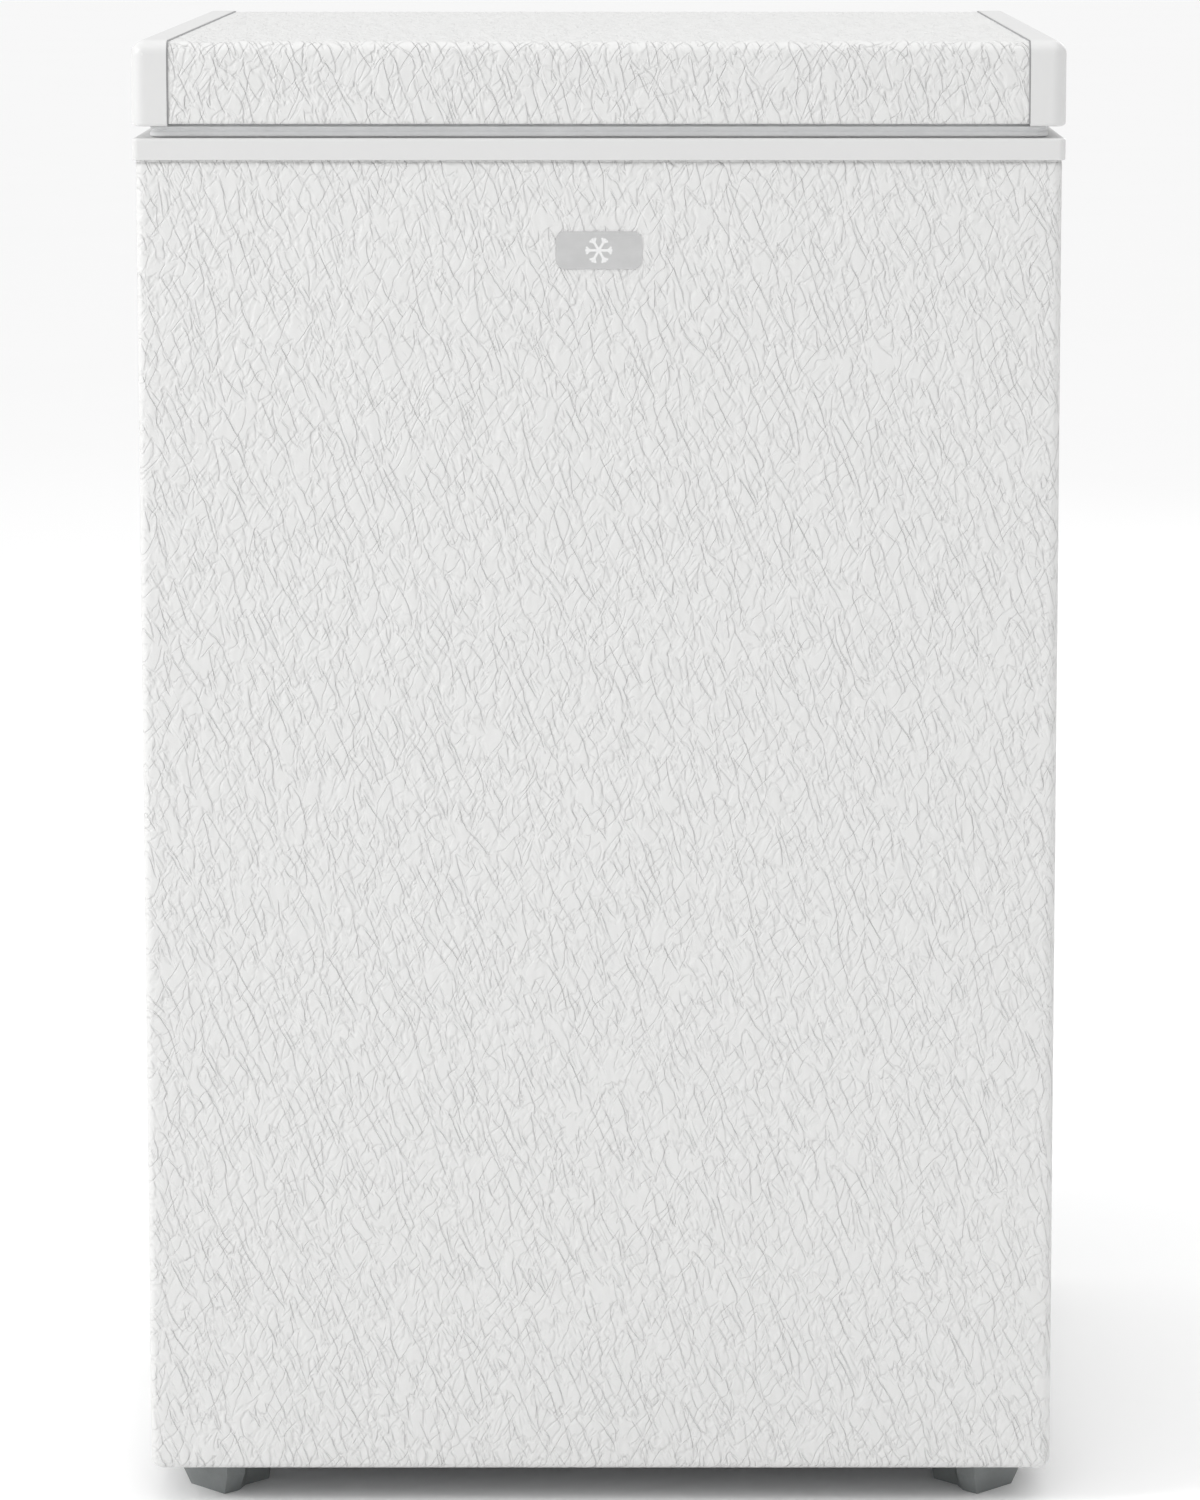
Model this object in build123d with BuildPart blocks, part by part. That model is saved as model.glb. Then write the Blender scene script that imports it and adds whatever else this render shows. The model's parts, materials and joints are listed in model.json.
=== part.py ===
from build123d import *

import math
import os

os.makedirs("parts", exist_ok=True)

# A small chest freezer. +Z is up, the front looks along -Y, and the origin is on the
# floor, under the middle of the whole piece. All sizes are in millimetres.

# ---- overall sizes ----
width = 540.0  # across the lid's end caps
collar_depth = 535.0  # cabinet, front to back
foot_height = 21.5
body_height = 779.5  # outer sheet, from its lower edge to the collar
collar_height = 12.7
seal_gap = 6.8  # from the collar up to the end caps, where the gasket shows
cap_height = 49.5
cap_proud = 1.0  # end caps over the lid's sheet, at the top, front and back
panel_lift = 1.5  # the lid sheet's lower edge above the end caps' lower edge
collar_inset = 0.3  # collar inside the end caps
wrap_inset = 2.3  # outer sheet inside the end caps

# ---- gaps ----
touch = 0.05  # between pieces that lie on each other
clear = 0.3  # between pieces that move past each other
running = 0.05  # round a pin that turns in its hole

# ---- cabinet ----
sheet = 0.6
front_corner = 4.0
base_corner = 7.0
side_flange = 18.0
front_flange = 15.0
base_sheet = 0.8
rear_flange = 12.0
side_wall = 62.0  # end cap's face to storage space
front_wall = 64.5
rear_wall = 64.5
floor_wall = 55.0
liner_sheet = 0.6
floor_bend = 20.0
inner_bend = 12.0
step_bend = 15.0
side_bend = 10.0
bay_depth = 190.0  # machine bay, from the rear sheet's face
bay_height = 235.0
step_wall = 45.0  # insulation in front of the bay
roof_wall = 49.0  # insulation over the bay

# ---- collar ----
collar_plate = 2.5
collar_skirt = 1.4
skirt_corner = 1.5  # inside the skirt, round the outer sheet's square rear corners
collar_corner = 4.0
collar_edge = 1.6
lip = 1.8
lip_gap = 0.2
lip_depth = 20.0

# ---- lid ----
cap_reach = 21.0  # end cap, from its outer face inwards
cap_overlap = 8.0  # end cap over the lid's sheet
cap_wall = 2.0
cap_corner = 8.0
cap_foot_edge = 2.5
cap_rim = 8.0  # the end cap's lower rim
panel_flange = 8.0
lid_liner_wall = 2.0
plug_gap = 20.0  # mouth to the lid liner's plug
plug_drop = 10.0  # plug below the collar's top
plug_corner = 20.0
gasket_inset = 9.5
gasket_width = 14.0
gasket_corner = 8.0
gasket_lift = 0.2  # gasket over the collar, closed
gasket_edge = 1.5
dart_width = 3.0
dart_height = 6.0
groove_wall = 1.5

# ---- tubes in the insulation ----
evaporator_size = 8.0
evaporator_loops = 7
evaporator_margin = 60.0
condenser_size = 5.0
condenser_runs = 9
condenser_margin = 50.0
tube_wall = 0.7
tape = 1.0  # foil between a tube and the foam
pocket_margin = 12.0  # foil beyond the outermost tubes

# ---- hinges ----
hinge_place = 165.0  # from the middle
hinge_setback = 20.0  # axis behind the collar
hinge_drop = 4.0  # axis below the collar's top
ear_radius = 12.0
bracket_half = 30.0
bracket_sheet = 2.0
bracket_drop = 125.0
bracket_lip = 8.0
pin_radius = 3.5
pin_head = 5.5
pin_head_height = 2.0
leaf_ear = 10.0
leaf_half = 22.0
leaf_low = 20.3  # above the axis
leaf_high = 52.3
cam_height = 16.5  # under the axis, lid closed
cam_rate = 7.0  # plunger's rise for each radian of the lid
cam_disc = 6.4
lid_opening = 80.0  # degrees
plunger_half = 19.3
plunger_height = 14.0
plunger_flange = 5.0
spring_offset = -5.0  # the spring's line, from the axis
spring_radius = 10.0
spring_wire = 3.0
spring_turns = 9
screw_radius = 2.0
screw_head = 4.5
screw_head_height = 3.0
screw_length = 16.0
plate_sheet = 2.0

# ---- machine bay ----
tray_sheet = 2.0
tray_rim = 12.0
compressor_place = 118.0  # from the middle
compressor_long = 84.0
compressor_short = 62.0
compressor_wall = 3.0
lower_height = 78.0
upper_height = 70.0
shell_slim = 0.9  # shells' share of the compressor's length, and a little more of its depth
shell_deep = 0.94
shell_flange = 5.0
shell_rise = 6.0  # shell over its mounting plate
lower_bend = 6.0
upper_bend = 26.0
plate_corner = 12.0
motor_corner = 10.0
terminal_deep = 30.0
terminal_half = 26.0
terminal_wall = 2.0
terminal_rise = 18.0
terminal_gap = 6.0
terminal_corner = 6.0
grommet_height = 12.0
grommet_radius = 11.0
bolt_radius = 3.0
bolt_head_height = 4.0
bolt_inset = 14.0  # from the compressor's ends
bolt_inset_side = 8.0
dryer_gap = 75.0  # dryer's middle to the compressor's end
dryer_forward = 30.0  # from the bay's front
dryer_radius = 9.0
dryer_long = 70.0
dryer_end = 3.2
dryer_over_ends = 96.0
pipe_forward = 16.0
pipe_bend = 6.0
suction_radius = 3.2
suction_bend = 9.0
capillary_radius = 1.1
capillary_side = 40.0
cover_sheet = 1.2
cover_rim = 10.0
louvre_rows = 9
louvre_long = 62.0
louvre_high = 4.0
louvre_pitch = 15.0
louvre_low = 50.0
hood_deep = 4.0
hood_gap = 0.6
cover_corner = 6.0
cover_screw_side = 14.0
cover_screw_low = 24.0
gland_level = 34.0
gland_radius = 7.0
gland_collar = 3.0
gland_bore = 3.4

# ---- control panel, on the machine cover ----
panel_place = -165.0
panel_level = 150.0
bezel_wide = 128.0
bezel_high = 62.0
bezel_plate = 2.5
bezel_corner = 8.0
bezel_edge = 1.2
bezel_screw_side = 6.0
window_margin = 12.0
window_margin_high = 9.0
knob_place = -33.0  # from the panel's middle
knob_radius = 17.0
knob_height = 13.0
knob_skirt = 4.0
knob_step = 2.0
knob_notches = 18
notch_radius = 0.9
body_half = 18.0
body_half_high = 16.0
body_deep = 26.0
shaft_radius = 3.0
rocker_place = 16.0
rocker_wide = 16.0
rocker_high = 24.0
rocker_deep = 10.0
rocker_set = 4.0  # its pivot's depth
rocker_pivot = 1.5
rocker_tip = 4.4  # its ends, out from the frame
rocker_frame = 3.0
rocker_swing = 6.0  # degrees, each way
lens_place = 46.0
lens_pitch = 16.0
lens_radius = 3.0

# ---- drain ----
drain_forward = 170.0  # from the middle
drain_bore = 6.0
drain_wall = 2.0
drain_reach = 12.0  # tube below the outer sheet
plug_head = 3.0
plug_stem = 14.0
drain_cap_high = 10.0
drain_cap_wall = 2.5

# ---- feet ----
foot_inset = 31.0  # the foot's outer end from both sides of its corner
foot_end = 15.5
foot_neck = 10.0
foot_head = 11.4
foot_taper = 9.6
foot_long = 40.0
foot_flare = 5.5  # wider at the shoulder than on the floor
foot_shoulder = 12.0
foot_screw = 15.0  # along the foot

# ---- badge ----
badge_drop = 52.0  # badge's middle below the collar
badge_wide = 50.0
badge_high = 22.0
badge_sheet = 0.7
badge_relief = 0.35

# ---- basket ----
basket_long = 190.0  # along the cabinet's width
basket_high = 196.0
basket_side = 5.0  # basket to storage wall
basket_wire = 3.0
basket_rim = 5.0
basket_drop = 21.0  # rim below the collar's top
basket_hoops = 12
basket_ribs = 6
basket_bend = 14.0
hook_place = 55.0
hook_reach = 36.0
hook_tail = 26.0
hook_bend = 7.0

# ---- levels and planes that follow ----
z_base = foot_height
z_collar = z_base + body_height
z_collar_top = z_collar + collar_height
z_cap = z_collar_top + seal_gap
z_top = z_cap + cap_height
z_panel = z_cap + panel_lift
z_panel_top = z_top - cap_proud
z_wrap_top = z_collar_top - collar_plate - touch
hinge_reach = hinge_setback + ear_radius
y_front = -(collar_depth + hinge_reach) / 2
y_rear = y_front + collar_depth
y_middle = (y_front + y_rear) / 2
y_back = y_rear + hinge_reach
half = width / 2
x_collar = half - collar_inset
x_wrap = half - wrap_inset
y_wrap_front = y_front + wrap_inset
y_wrap_rear = y_rear - wrap_inset
x_cavity = half - side_wall
y_cavity_front = y_front + front_wall
y_cavity_rear = y_rear - rear_wall
z_floor = z_base + floor_wall
y_bay = y_wrap_rear - bay_depth
z_bay = z_base + bay_height
y_step = y_bay - base_sheet - step_wall
z_step = z_bay + base_sheet + roof_wall
x_mouth = x_cavity - lip - lip_gap
y_mouth_front = y_cavity_front + lip + lip_gap
y_mouth_rear = y_cavity_rear - lip - lip_gap
y_mouth = (y_mouth_front + y_mouth_rear) / 2
mouth_run = y_mouth_rear - y_mouth_front
y_axis = y_rear + hinge_setback
z_axis = z_collar_top - hinge_drop
z_floor_sheet = z_base + sheet + touch
z_tray = z_floor_sheet + tray_sheet
sides = (("left", -1), ("right", 1))


def block(one, other, mode=Mode.ADD):
    """A box between two opposite corners."""
    middle = tuple((a + b) / 2 for a, b in zip(one, other))
    with Locations(middle):
        return Box(*[abs(b - a) for a, b in zip(one, other)], mode=mode)


def rod(middle, radius, length, along, mode=Mode.ADD):
    """A round bar centred on a point, along x, y or z."""
    turn = {"x": (0, 90, 0), "y": (90, 0, 0), "z": (0, 0, 0)}[along]
    with Locations(Location(middle, turn)):
        return Cylinder(radius, length, mode=mode)


def bent_tube(points, bends, outer, inner=0.0):
    """A tube, or a wire, of straight runs joined by arcs."""
    with BuildPart() as tube:
        with BuildLine() as route:
            FilletPolyline(*points, radius=bends)
        start = Plane(origin=route.line @ 0, z_dir=route.line % 0)
        with BuildSketch(start):
            Circle(outer)
            if inner:
                Circle(inner, mode=Mode.SUBTRACT)
        sweep()
    return tube.part


def pan_head_screw(point, direction, radius, head, head_height, length):
    """A screw whose head stands on the point and whose shank runs along the direction."""
    seat = Plane(origin=point, z_dir=direction)
    with BuildPart() as screw:
        with BuildSketch(seat):
            Circle(radius)
        extrude(amount=length)
        with BuildSketch(seat):
            Circle(head)
        extrude(amount=-head_height)
        fillet(screw.edges().filter_by(GeomType.CIRCLE).group_by(SortBy.RADIUS)[-1]
               .sort_by(lambda e: (e.center() - Vector(*point)).length)[-1], head_height * 0.45)
        with BuildSketch(seat.offset(-head_height)):
            Rectangle(head, head * 0.22)
            Rectangle(head * 0.22, head)
        extrude(amount=head_height * 0.5, mode=Mode.SUBTRACT)
    return screw.part


# ---- outlines that several pieces follow ----
def cabinet_block(inset, rear, top):
    """The cabinet's outline that far inside the outer sheet's face."""
    low = z_base + inset
    front = y_wrap_front + inset
    with BuildPart() as outline:
        with BuildSketch(Plane.XZ.offset(-front)) as face:
            with Locations((0, (low + top) / 2)):
                Rectangle(2 * (x_wrap - inset), top - low)
            fillet(face.vertices().group_by(Axis.Y)[0], base_corner - inset)
        extrude(amount=front - rear)
        rim = outline.faces().sort_by(Axis.Y)[0].edges().sort_by(Axis.Z)[:-1]
        fillet(rim, front_corner - inset)
    return outline.part


def liner_block(grow, top):
    """The storage space, larger by grow, with the step over the machine bay."""
    points = [
        (y_cavity_front - grow, top),
        (y_cavity_front - grow, z_floor - grow),
        (y_step + grow, z_floor - grow),
        (y_step + grow, z_step - grow),
        (y_cavity_rear + grow, z_step - grow),
        (y_cavity_rear + grow, top),
    ]
    bends = [0, floor_bend + grow, inner_bend + grow, step_bend - grow, inner_bend + grow, 0]
    x_side = x_cavity + grow
    with BuildPart() as space:
        with BuildSketch(Plane.YZ.offset(-x_side)):
            with BuildLine():
                FilletPolyline(*points, radius=bends, close=True)
            make_face()
        extrude(amount=2 * x_side)
        ends = space.faces().filter_by(Axis.X).edges().group_by(Axis.Z)
        fillet(space.faces().filter_by(Axis.X).edges() - ends[-1], side_bend + grow)
    return space.part


def lid_block(inset, low, x_end):
    """The end caps' outline that far inside their face, down to low and out to x_end."""
    high = z_top - inset
    with BuildPart() as outline:
        block((-x_end, y_front + inset, low), (x_end, y_rear - inset, high))
        top_rim = outline.faces().sort_by(Axis.Z)[-1].edges()
        uprights = outline.edges().filter_by(Axis.Z)
        fillet(top_rim + uprights, cap_corner - inset)
    return outline.part


def panel_block(inset, low, x_end):
    """The lid sheet's outline that far inside its face, down to low and out to x_end."""
    front = y_front + cap_proud + inset
    rear = y_rear - cap_proud - inset
    high = z_panel_top - inset
    with BuildPart() as outline:
        with BuildSketch(Plane.YZ.offset(-x_end)) as face:
            with Locations(((front + rear) / 2, (low + high) / 2)):
                Rectangle(rear - front, high - low)
            fillet(face.vertices().group_by(Axis.Y)[-1], cap_corner - cap_proud - inset)
        extrude(amount=2 * x_end)
    return outline.part


def ring(inset, band, low, high, corner):
    """An upright-walled ring that far inside the end caps' outline."""
    long_x = width - 2 * inset
    long_y = collar_depth - 2 * inset
    with BuildPart() as loop:
        with BuildSketch(Plane.XY.offset(low)):
            with Locations((0, y_middle)):
                RectangleRounded(long_x, long_y, corner)
                RectangleRounded(
                    long_x - 2 * band, long_y - 2 * band, max(corner - band, 1.0), mode=Mode.SUBTRACT
                )
        extrude(amount=high - low)
    return loop.part


# ---- places that more than one piece uses ----
feet = []
for end, t in (("front", -1), ("rear", 1)):
    for side, s in sides:
        y_corner = y_wrap_front if t < 0 else y_wrap_rear
        feet.append((f"foot_{end}_{side}", s, t, s * (x_wrap - foot_inset), y_corner - t * foot_inset))
diagonal = math.sqrt(0.5)
foot_screws_at = [
    (x - s * foot_screw * diagonal, y - t * foot_screw * diagonal) for _, s, t, x, y in feet
]
hinge_screws_at = [
    (s * hinge_place + dx, z_axis + dz) for _, s in sides for dx in (-20, 20) for dz in (-55, -105)
]
leaf_screws_at = [
    (s * hinge_place + dx, z_axis + dz) for _, s in sides for dx in (-14, 14) for dz in (29, 45)
]
y_drain = y_middle - drain_forward

# ---- outer sheet: front and both sides in one bend ----
wrap_solid = cabinet_block(0, y_wrap_rear, z_wrap_top)
wrap_inside = cabinet_block(sheet, y_wrap_rear + sheet, z_wrap_top + sheet)
with BuildPart() as outer_wrap:
    add(wrap_solid)
    add(wrap_inside, mode=Mode.SUBTRACT)
    block(
        (-x_wrap + side_flange, y_wrap_front + front_flange, z_base - sheet),
        (x_wrap - side_flange, y_wrap_rear + sheet, z_base + 2 * sheet),
        mode=Mode.SUBTRACT,
    )
outer_wrap.part.label = "outer_wrap"
export_step(outer_wrap.part, "parts/outer_wrap.step")

# ---- rear sheet over the machine bay: a shallow pan ----
x_rear = x_wrap - sheet - touch
z_rear_low = z_bay + base_sheet + touch
with BuildPart() as rear_panel:
    block((-x_rear, y_wrap_rear - rear_flange, z_rear_low), (x_rear, y_wrap_rear, z_wrap_top))
    block(
        (-x_rear + sheet, y_wrap_rear - rear_flange - sheet, z_rear_low + sheet),
        (x_rear - sheet, y_wrap_rear - sheet, z_wrap_top + sheet),
        mode=Mode.SUBTRACT,
    )
    for x, z in hinge_screws_at:
        rod((x, y_wrap_rear, z), screw_radius + 2 * running, 4 * sheet, "y", mode=Mode.SUBTRACT)
rear_panel.part.label = "rear_panel"
export_step(rear_panel.part, "parts/rear_panel.step")

# ---- base sheet: floor, front of the machine bay and its roof ----
x_floor = x_wrap - base_corner
with BuildPart() as base_panel:
    block(
        (-x_floor, y_wrap_front + base_corner, z_floor_sheet),
        (x_floor, y_bay, z_floor_sheet + base_sheet),
    )
    block((-x_floor, y_bay - base_sheet, z_floor_sheet), (x_floor, y_bay, z_base + 2 * base_corner))
    block((-x_rear, y_bay - base_sheet, z_base + base_corner), (x_rear, y_bay, z_bay + base_sheet))
    block((-x_rear, y_bay - base_sheet, z_bay), (x_rear, y_wrap_rear - touch, z_bay + base_sheet))
    for x, y in foot_screws_at:
        rod((x, y, z_base), screw_radius + 1.0, 4 * base_corner, "z", mode=Mode.SUBTRACT)
    rod((0, y_drain, z_base), drain_bore + drain_wall + clear, 4 * base_sheet, "z", mode=Mode.SUBTRACT)
base_panel.part.label = "base_panel"
export_step(base_panel.part, "parts/base_panel.step")

# ---- storage liner ----
liner_outside = liner_block(liner_sheet, z_wrap_top)
liner_inside = liner_block(0, z_wrap_top + liner_sheet)
with BuildPart() as inner_liner:
    add(liner_outside)
    add(liner_inside, mode=Mode.SUBTRACT)
    rod(
        (0, y_drain, z_floor), drain_bore + drain_wall + 2 * running, 4 * liner_sheet, "z",
        mode=Mode.SUBTRACT,
    )
inner_liner.part.label = "inner_liner"
export_step(inner_liner.part, "parts/inner_liner.step")

# ---- evaporator: loops of tube round the upper part of the liner ----
reach = liner_sheet + touch + evaporator_size / 2
evaporator_bend = side_bend + reach
loop_low = z_step + evaporator_margin
loop_step = (z_collar - evaporator_margin - loop_low) / evaporator_loops
loop_points = [(0, y_cavity_rear + reach, loop_low)]
for turn in range(evaporator_loops):
    level = loop_low + turn * loop_step
    loop_points += [
        (x_cavity + reach, y_cavity_rear + reach, level),
        (x_cavity + reach, y_cavity_front - reach, level),
        (-x_cavity - reach, y_cavity_front - reach, level),
        (-x_cavity - reach, y_cavity_rear + reach, level + loop_step),
    ]
loop_high = loop_low + evaporator_loops * loop_step
loop_points.append((0, y_cavity_rear + reach, loop_high))
loop_pocket = liner_sheet + touch + evaporator_size + tape
evaporator_radius = evaporator_size / 2
evaporator = bent_tube(loop_points, evaporator_bend, evaporator_radius)
evaporator.label = "evaporator_tube"
export_step(evaporator, "parts/evaporator_tube.step")

# ---- condenser: a hairpin coil on the inside of each side wall ----
condenser_radius = condenser_size / 2
y_coil_front = y_wrap_front + condenser_margin
y_coil_rear = y_wrap_rear - condenser_margin
run_pitch = (y_coil_rear - y_coil_front) / (condenser_runs - 1)
x_coil = x_wrap - sheet - touch - condenser_radius
coil_low = z_bay + condenser_margin
coil_high = z_collar - condenser_margin
for side, s in sides:
    coil_points = []
    for run in range(condenser_runs):
        y_run = y_coil_front + run * run_pitch
        ends = (coil_low, coil_high) if run % 2 == 0 else (coil_high, coil_low)
        coil_points += [(s * x_coil, y_run, z) for z in ends]
    coil_bend = run_pitch * 0.45
    coil = bent_tube(coil_points, coil_bend, condenser_radius)
    coil.label = f"condenser_coil_{side}"
    export_step(coil, f"parts/condenser_coil_{side}.step")

# ---- steel plates that take the hinges' screws ----
y_rear_inside = y_wrap_rear - sheet - touch
plate_half = bracket_half
with BuildPart() as hinge_backing_plates:
    for _, s in sides:
        block(
            (s * hinge_place - plate_half, y_rear_inside - plate_sheet, z_axis - bracket_drop),
            (s * hinge_place + plate_half, y_rear_inside, z_axis - ear_radius - bracket_lip),
        )
    for x, z in hinge_screws_at:
        rod((x, y_rear_inside, z), screw_radius + running, 4 * plate_sheet, "y", mode=Mode.SUBTRACT)
hinge_backing_plates.part.label = "hinge_backing_plates"
export_step(hinge_backing_plates.part, "parts/hinge_backing_plates.step")

# ---- foamed insulation of the cabinet ----
foam_solid = cabinet_block(sheet + touch, y_rear_inside, z_wrap_top)
liner_space = liner_block(liner_sheet + touch, z_wrap_top + sheet)
x_flange = x_rear - sheet - touch
with BuildPart() as insulation_foam:
    add(foam_solid)
    add(liner_space, mode=Mode.SUBTRACT)
    block((-width, y_front, 0), (width, y_rear, z_floor_sheet + base_sheet + touch), mode=Mode.SUBTRACT)
    block(
        (-width, y_bay - base_sheet - touch, 0), (width, y_rear, z_bay + base_sheet + 2 * touch + sheet),
        mode=Mode.SUBTRACT,
    )
    for _, s in sides:
        block(
            (s * x_flange, y_wrap_rear - rear_flange - touch, 0), (s * width, y_rear, z_top),
            mode=Mode.SUBTRACT,
        )
    for _, s in sides:
        block(
            (s * hinge_place - plate_half - touch, y_rear_inside - plate_sheet - touch,
             z_axis - bracket_drop - touch),
            (s * hinge_place + plate_half + touch, y_rear, z_axis - ear_radius - bracket_lip + touch),
            mode=Mode.SUBTRACT,
        )
    for x, z in hinge_screws_at:
        rod(
            (x, y_wrap_rear - screw_length / 2, z), screw_radius + 2 * running, screw_length, "y",
            mode=Mode.SUBTRACT,
        )
    for x, y in foot_screws_at:
        rod((x, y, z_base), screw_radius + 1.0, 2 * screw_length, "z", mode=Mode.SUBTRACT)
    rod((0, y_drain, z_base), drain_bore + drain_wall + touch, 4 * floor_wall, "z", mode=Mode.SUBTRACT)
    block(
        (-x_cavity - loop_pocket, y_cavity_front - loop_pocket, loop_low - pocket_margin),
        (x_cavity + loop_pocket, y_cavity_rear + loop_pocket, loop_high + pocket_margin),
        mode=Mode.SUBTRACT,
    )
    for _, s in sides:
        block(
            (s * (x_coil - condenser_radius - tape), y_coil_front - pocket_margin, coil_low - pocket_margin),
            (s * width, y_coil_rear + pocket_margin, coil_high + pocket_margin),
            mode=Mode.SUBTRACT,
        )
insulation_foam.part.label = "insulation_foam"
export_step(insulation_foam.part, "parts/insulation_foam.step")

# ---- collar: the moulded frame round the mouth ----
collar_wide = 2 * x_collar
collar_long = collar_depth - 2 * collar_inset
skirt_height = collar_height - collar_plate
with BuildPart() as collar:
    with BuildSketch(Plane.XY.offset(z_collar)):
        with Locations((0, y_middle)):
            RectangleRounded(collar_wide, collar_long, collar_corner)
    extrude(amount=collar_height)
    fillet(collar.faces().sort_by(Axis.Z)[-1].edges(), collar_edge)
    fillet(collar.faces().sort_by(Axis.Z)[0].edges(), 0.8)
    with BuildSketch(Plane.XY.offset(z_collar)):
        with Locations((0, y_middle)):
            RectangleRounded(
                collar_wide - 2 * collar_skirt, collar_long - 2 * collar_skirt, skirt_corner,
            )
    extrude(amount=skirt_height, mode=Mode.SUBTRACT)
    with BuildSketch(Plane.XY.offset(z_collar_top - lip_depth)):
        with Locations((0, y_mouth)):
            RectangleRounded(2 * (x_mouth + lip), mouth_run + 2 * lip, side_bend - lip_gap)
    extrude(amount=lip_depth - collar_plate / 2)
    with BuildSketch(Plane.XY.offset(z_collar_top - lip_depth)):
        with Locations((0, y_mouth)):
            RectangleRounded(2 * x_mouth, mouth_run, side_bend - lip_gap - lip)
    extrude(amount=lip_depth, mode=Mode.SUBTRACT)
    fillet(collar.faces().sort_by(Axis.Z)[-1].inner_wires()[0].edges(), collar_edge)
collar.part.label = "collar"
export_step(collar.part, "parts/collar.step")

# ---- badge: a plain plate with a raised frost star ----
z_badge = z_collar - badge_drop
y_badge = y_wrap_front - touch
badge_face = Plane(origin=(0, y_badge - badge_sheet, z_badge), x_dir=(1, 0, 0), z_dir=(0, -1, 0))
with BuildPart() as badge:
    with BuildSketch(badge_face.offset(-badge_sheet)):
        RectangleRounded(badge_wide, badge_high, badge_high * 0.25)
    extrude(amount=badge_sheet)
    with BuildSketch(badge_face):
        for arm in range(3):
            with Locations(Location((0, 0, 0), (0, 0, 60 * arm))):
                Rectangle(badge_high * 0.72, badge_high * 0.07)
        for arm in range(6):
            with Locations(Location((0, 0, 0), (0, 0, 60 * arm))):
                for lean in (-45, 45):
                    with Locations(Location((badge_high * 0.24, 0, 0), (0, 0, lean))):
                        with Locations((badge_high * 0.06, 0)):
                            Rectangle(badge_high * 0.14, badge_high * 0.06)
    extrude(amount=badge_relief)
badge.part.label = "badge"
export_step(badge.part, "parts/badge.step")

# ---- lid: embossed sheet ----
x_panel = half - cap_reach + cap_overlap
panel_outside = panel_block(0, z_panel, x_panel)
panel_inside = panel_block(sheet, z_panel + sheet, x_panel + sheet)
with BuildPart() as lid_panel:
    add(panel_outside)
    add(panel_inside, mode=Mode.SUBTRACT)
    block(
        (-x_panel - sheet, y_front + cap_proud + panel_flange, z_panel - sheet),
        (x_panel + sheet, y_rear - cap_proud - panel_flange, z_panel + 2 * sheet),
        mode=Mode.SUBTRACT,
    )
    for x, z in leaf_screws_at:
        rod((x, y_rear, z), screw_radius + 2 * running, 6 * cap_proud, "y", mode=Mode.SUBTRACT)
lid_panel.part.label = "lid_panel"
export_step(lid_panel.part, "parts/lid_panel.step")

# ---- lid: moulded end caps ----
cap_outside = lid_block(0, z_cap, half)
cap_inside = lid_block(cap_wall, z_cap + cap_wall, half - cap_wall)
panel_seat = panel_block(-touch, z_panel - touch, x_panel + touch)
x_cap = half - cap_reach
for side, s in sides:
    with BuildPart() as lid_cap:
        add(cap_outside)
        block((-s * width, y_front - 1, z_cap - 1), (s * x_cap, y_rear + 1, z_top + 1), mode=Mode.SUBTRACT)
        lower = lid_cap.faces().sort_by(Axis.Z)[0].edges()
        fillet(lower - lower.group_by(Axis.X)[0 if s > 0 else -1], cap_foot_edge)
        add(cap_inside, mode=Mode.SUBTRACT)
        add(panel_seat, mode=Mode.SUBTRACT)
        block(
            (0, y_front + cap_rim, z_cap - 1), (s * (half - cap_rim), y_rear - cap_rim, z_cap + 2 * cap_wall),
            mode=Mode.SUBTRACT,
        )
    lid_cap.part.label = f"lid_cap_{side}"
    export_step(lid_cap.part, f"parts/lid_cap_{side}.step")

# ---- lid: inner liner with its plug and the gasket's groove ----
z_liner = z_panel + sheet + touch
z_liner_top = z_liner + lid_liner_wall
z_plug = z_collar_top - plug_drop
liner_edge = cap_wall + clear
x_plug = x_mouth - plug_gap
plug_run = mouth_run - 2 * plug_gap
groove_band = dart_width + 2 * running
groove_inset = gasket_inset + (gasket_width - groove_band) / 2
channel = ring(
    groove_inset - groove_wall, groove_band + 2 * groove_wall, z_liner,
    z_liner + dart_height + running + groove_wall, gasket_corner,
)
groove = ring(groove_inset, groove_band, z_liner - 1, z_liner + dart_height + running, gasket_corner)
with BuildPart() as lid_liner:
    with BuildSketch(Plane.XY.offset(z_liner)):
        with Locations((0, y_middle)):
            RectangleRounded(
                width - 2 * liner_edge, collar_depth - 2 * liner_edge, cap_corner - liner_edge
            )
    extrude(amount=lid_liner_wall)
    add(channel)
    with BuildSketch(Plane.XY.offset(z_plug)):
        with Locations((0, y_mouth)):
            RectangleRounded(2 * x_plug, plug_run, plug_corner)
    extrude(amount=z_liner_top - z_plug)
    fillet(lid_liner.faces().sort_by(Axis.Z)[0].edges(), 6)
    with BuildSketch(Plane.XY.offset(z_plug + lid_liner_wall)):
        with Locations((0, y_mouth)):
            RectangleRounded(
                2 * (x_plug - lid_liner_wall), plug_run - 2 * lid_liner_wall, plug_corner - lid_liner_wall
            )
    extrude(amount=z_liner_top - z_plug, mode=Mode.SUBTRACT)
    add(groove, mode=Mode.SUBTRACT)
lid_liner.part.label = "lid_liner"
export_step(lid_liner.part, "parts/lid_liner.step")

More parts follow.
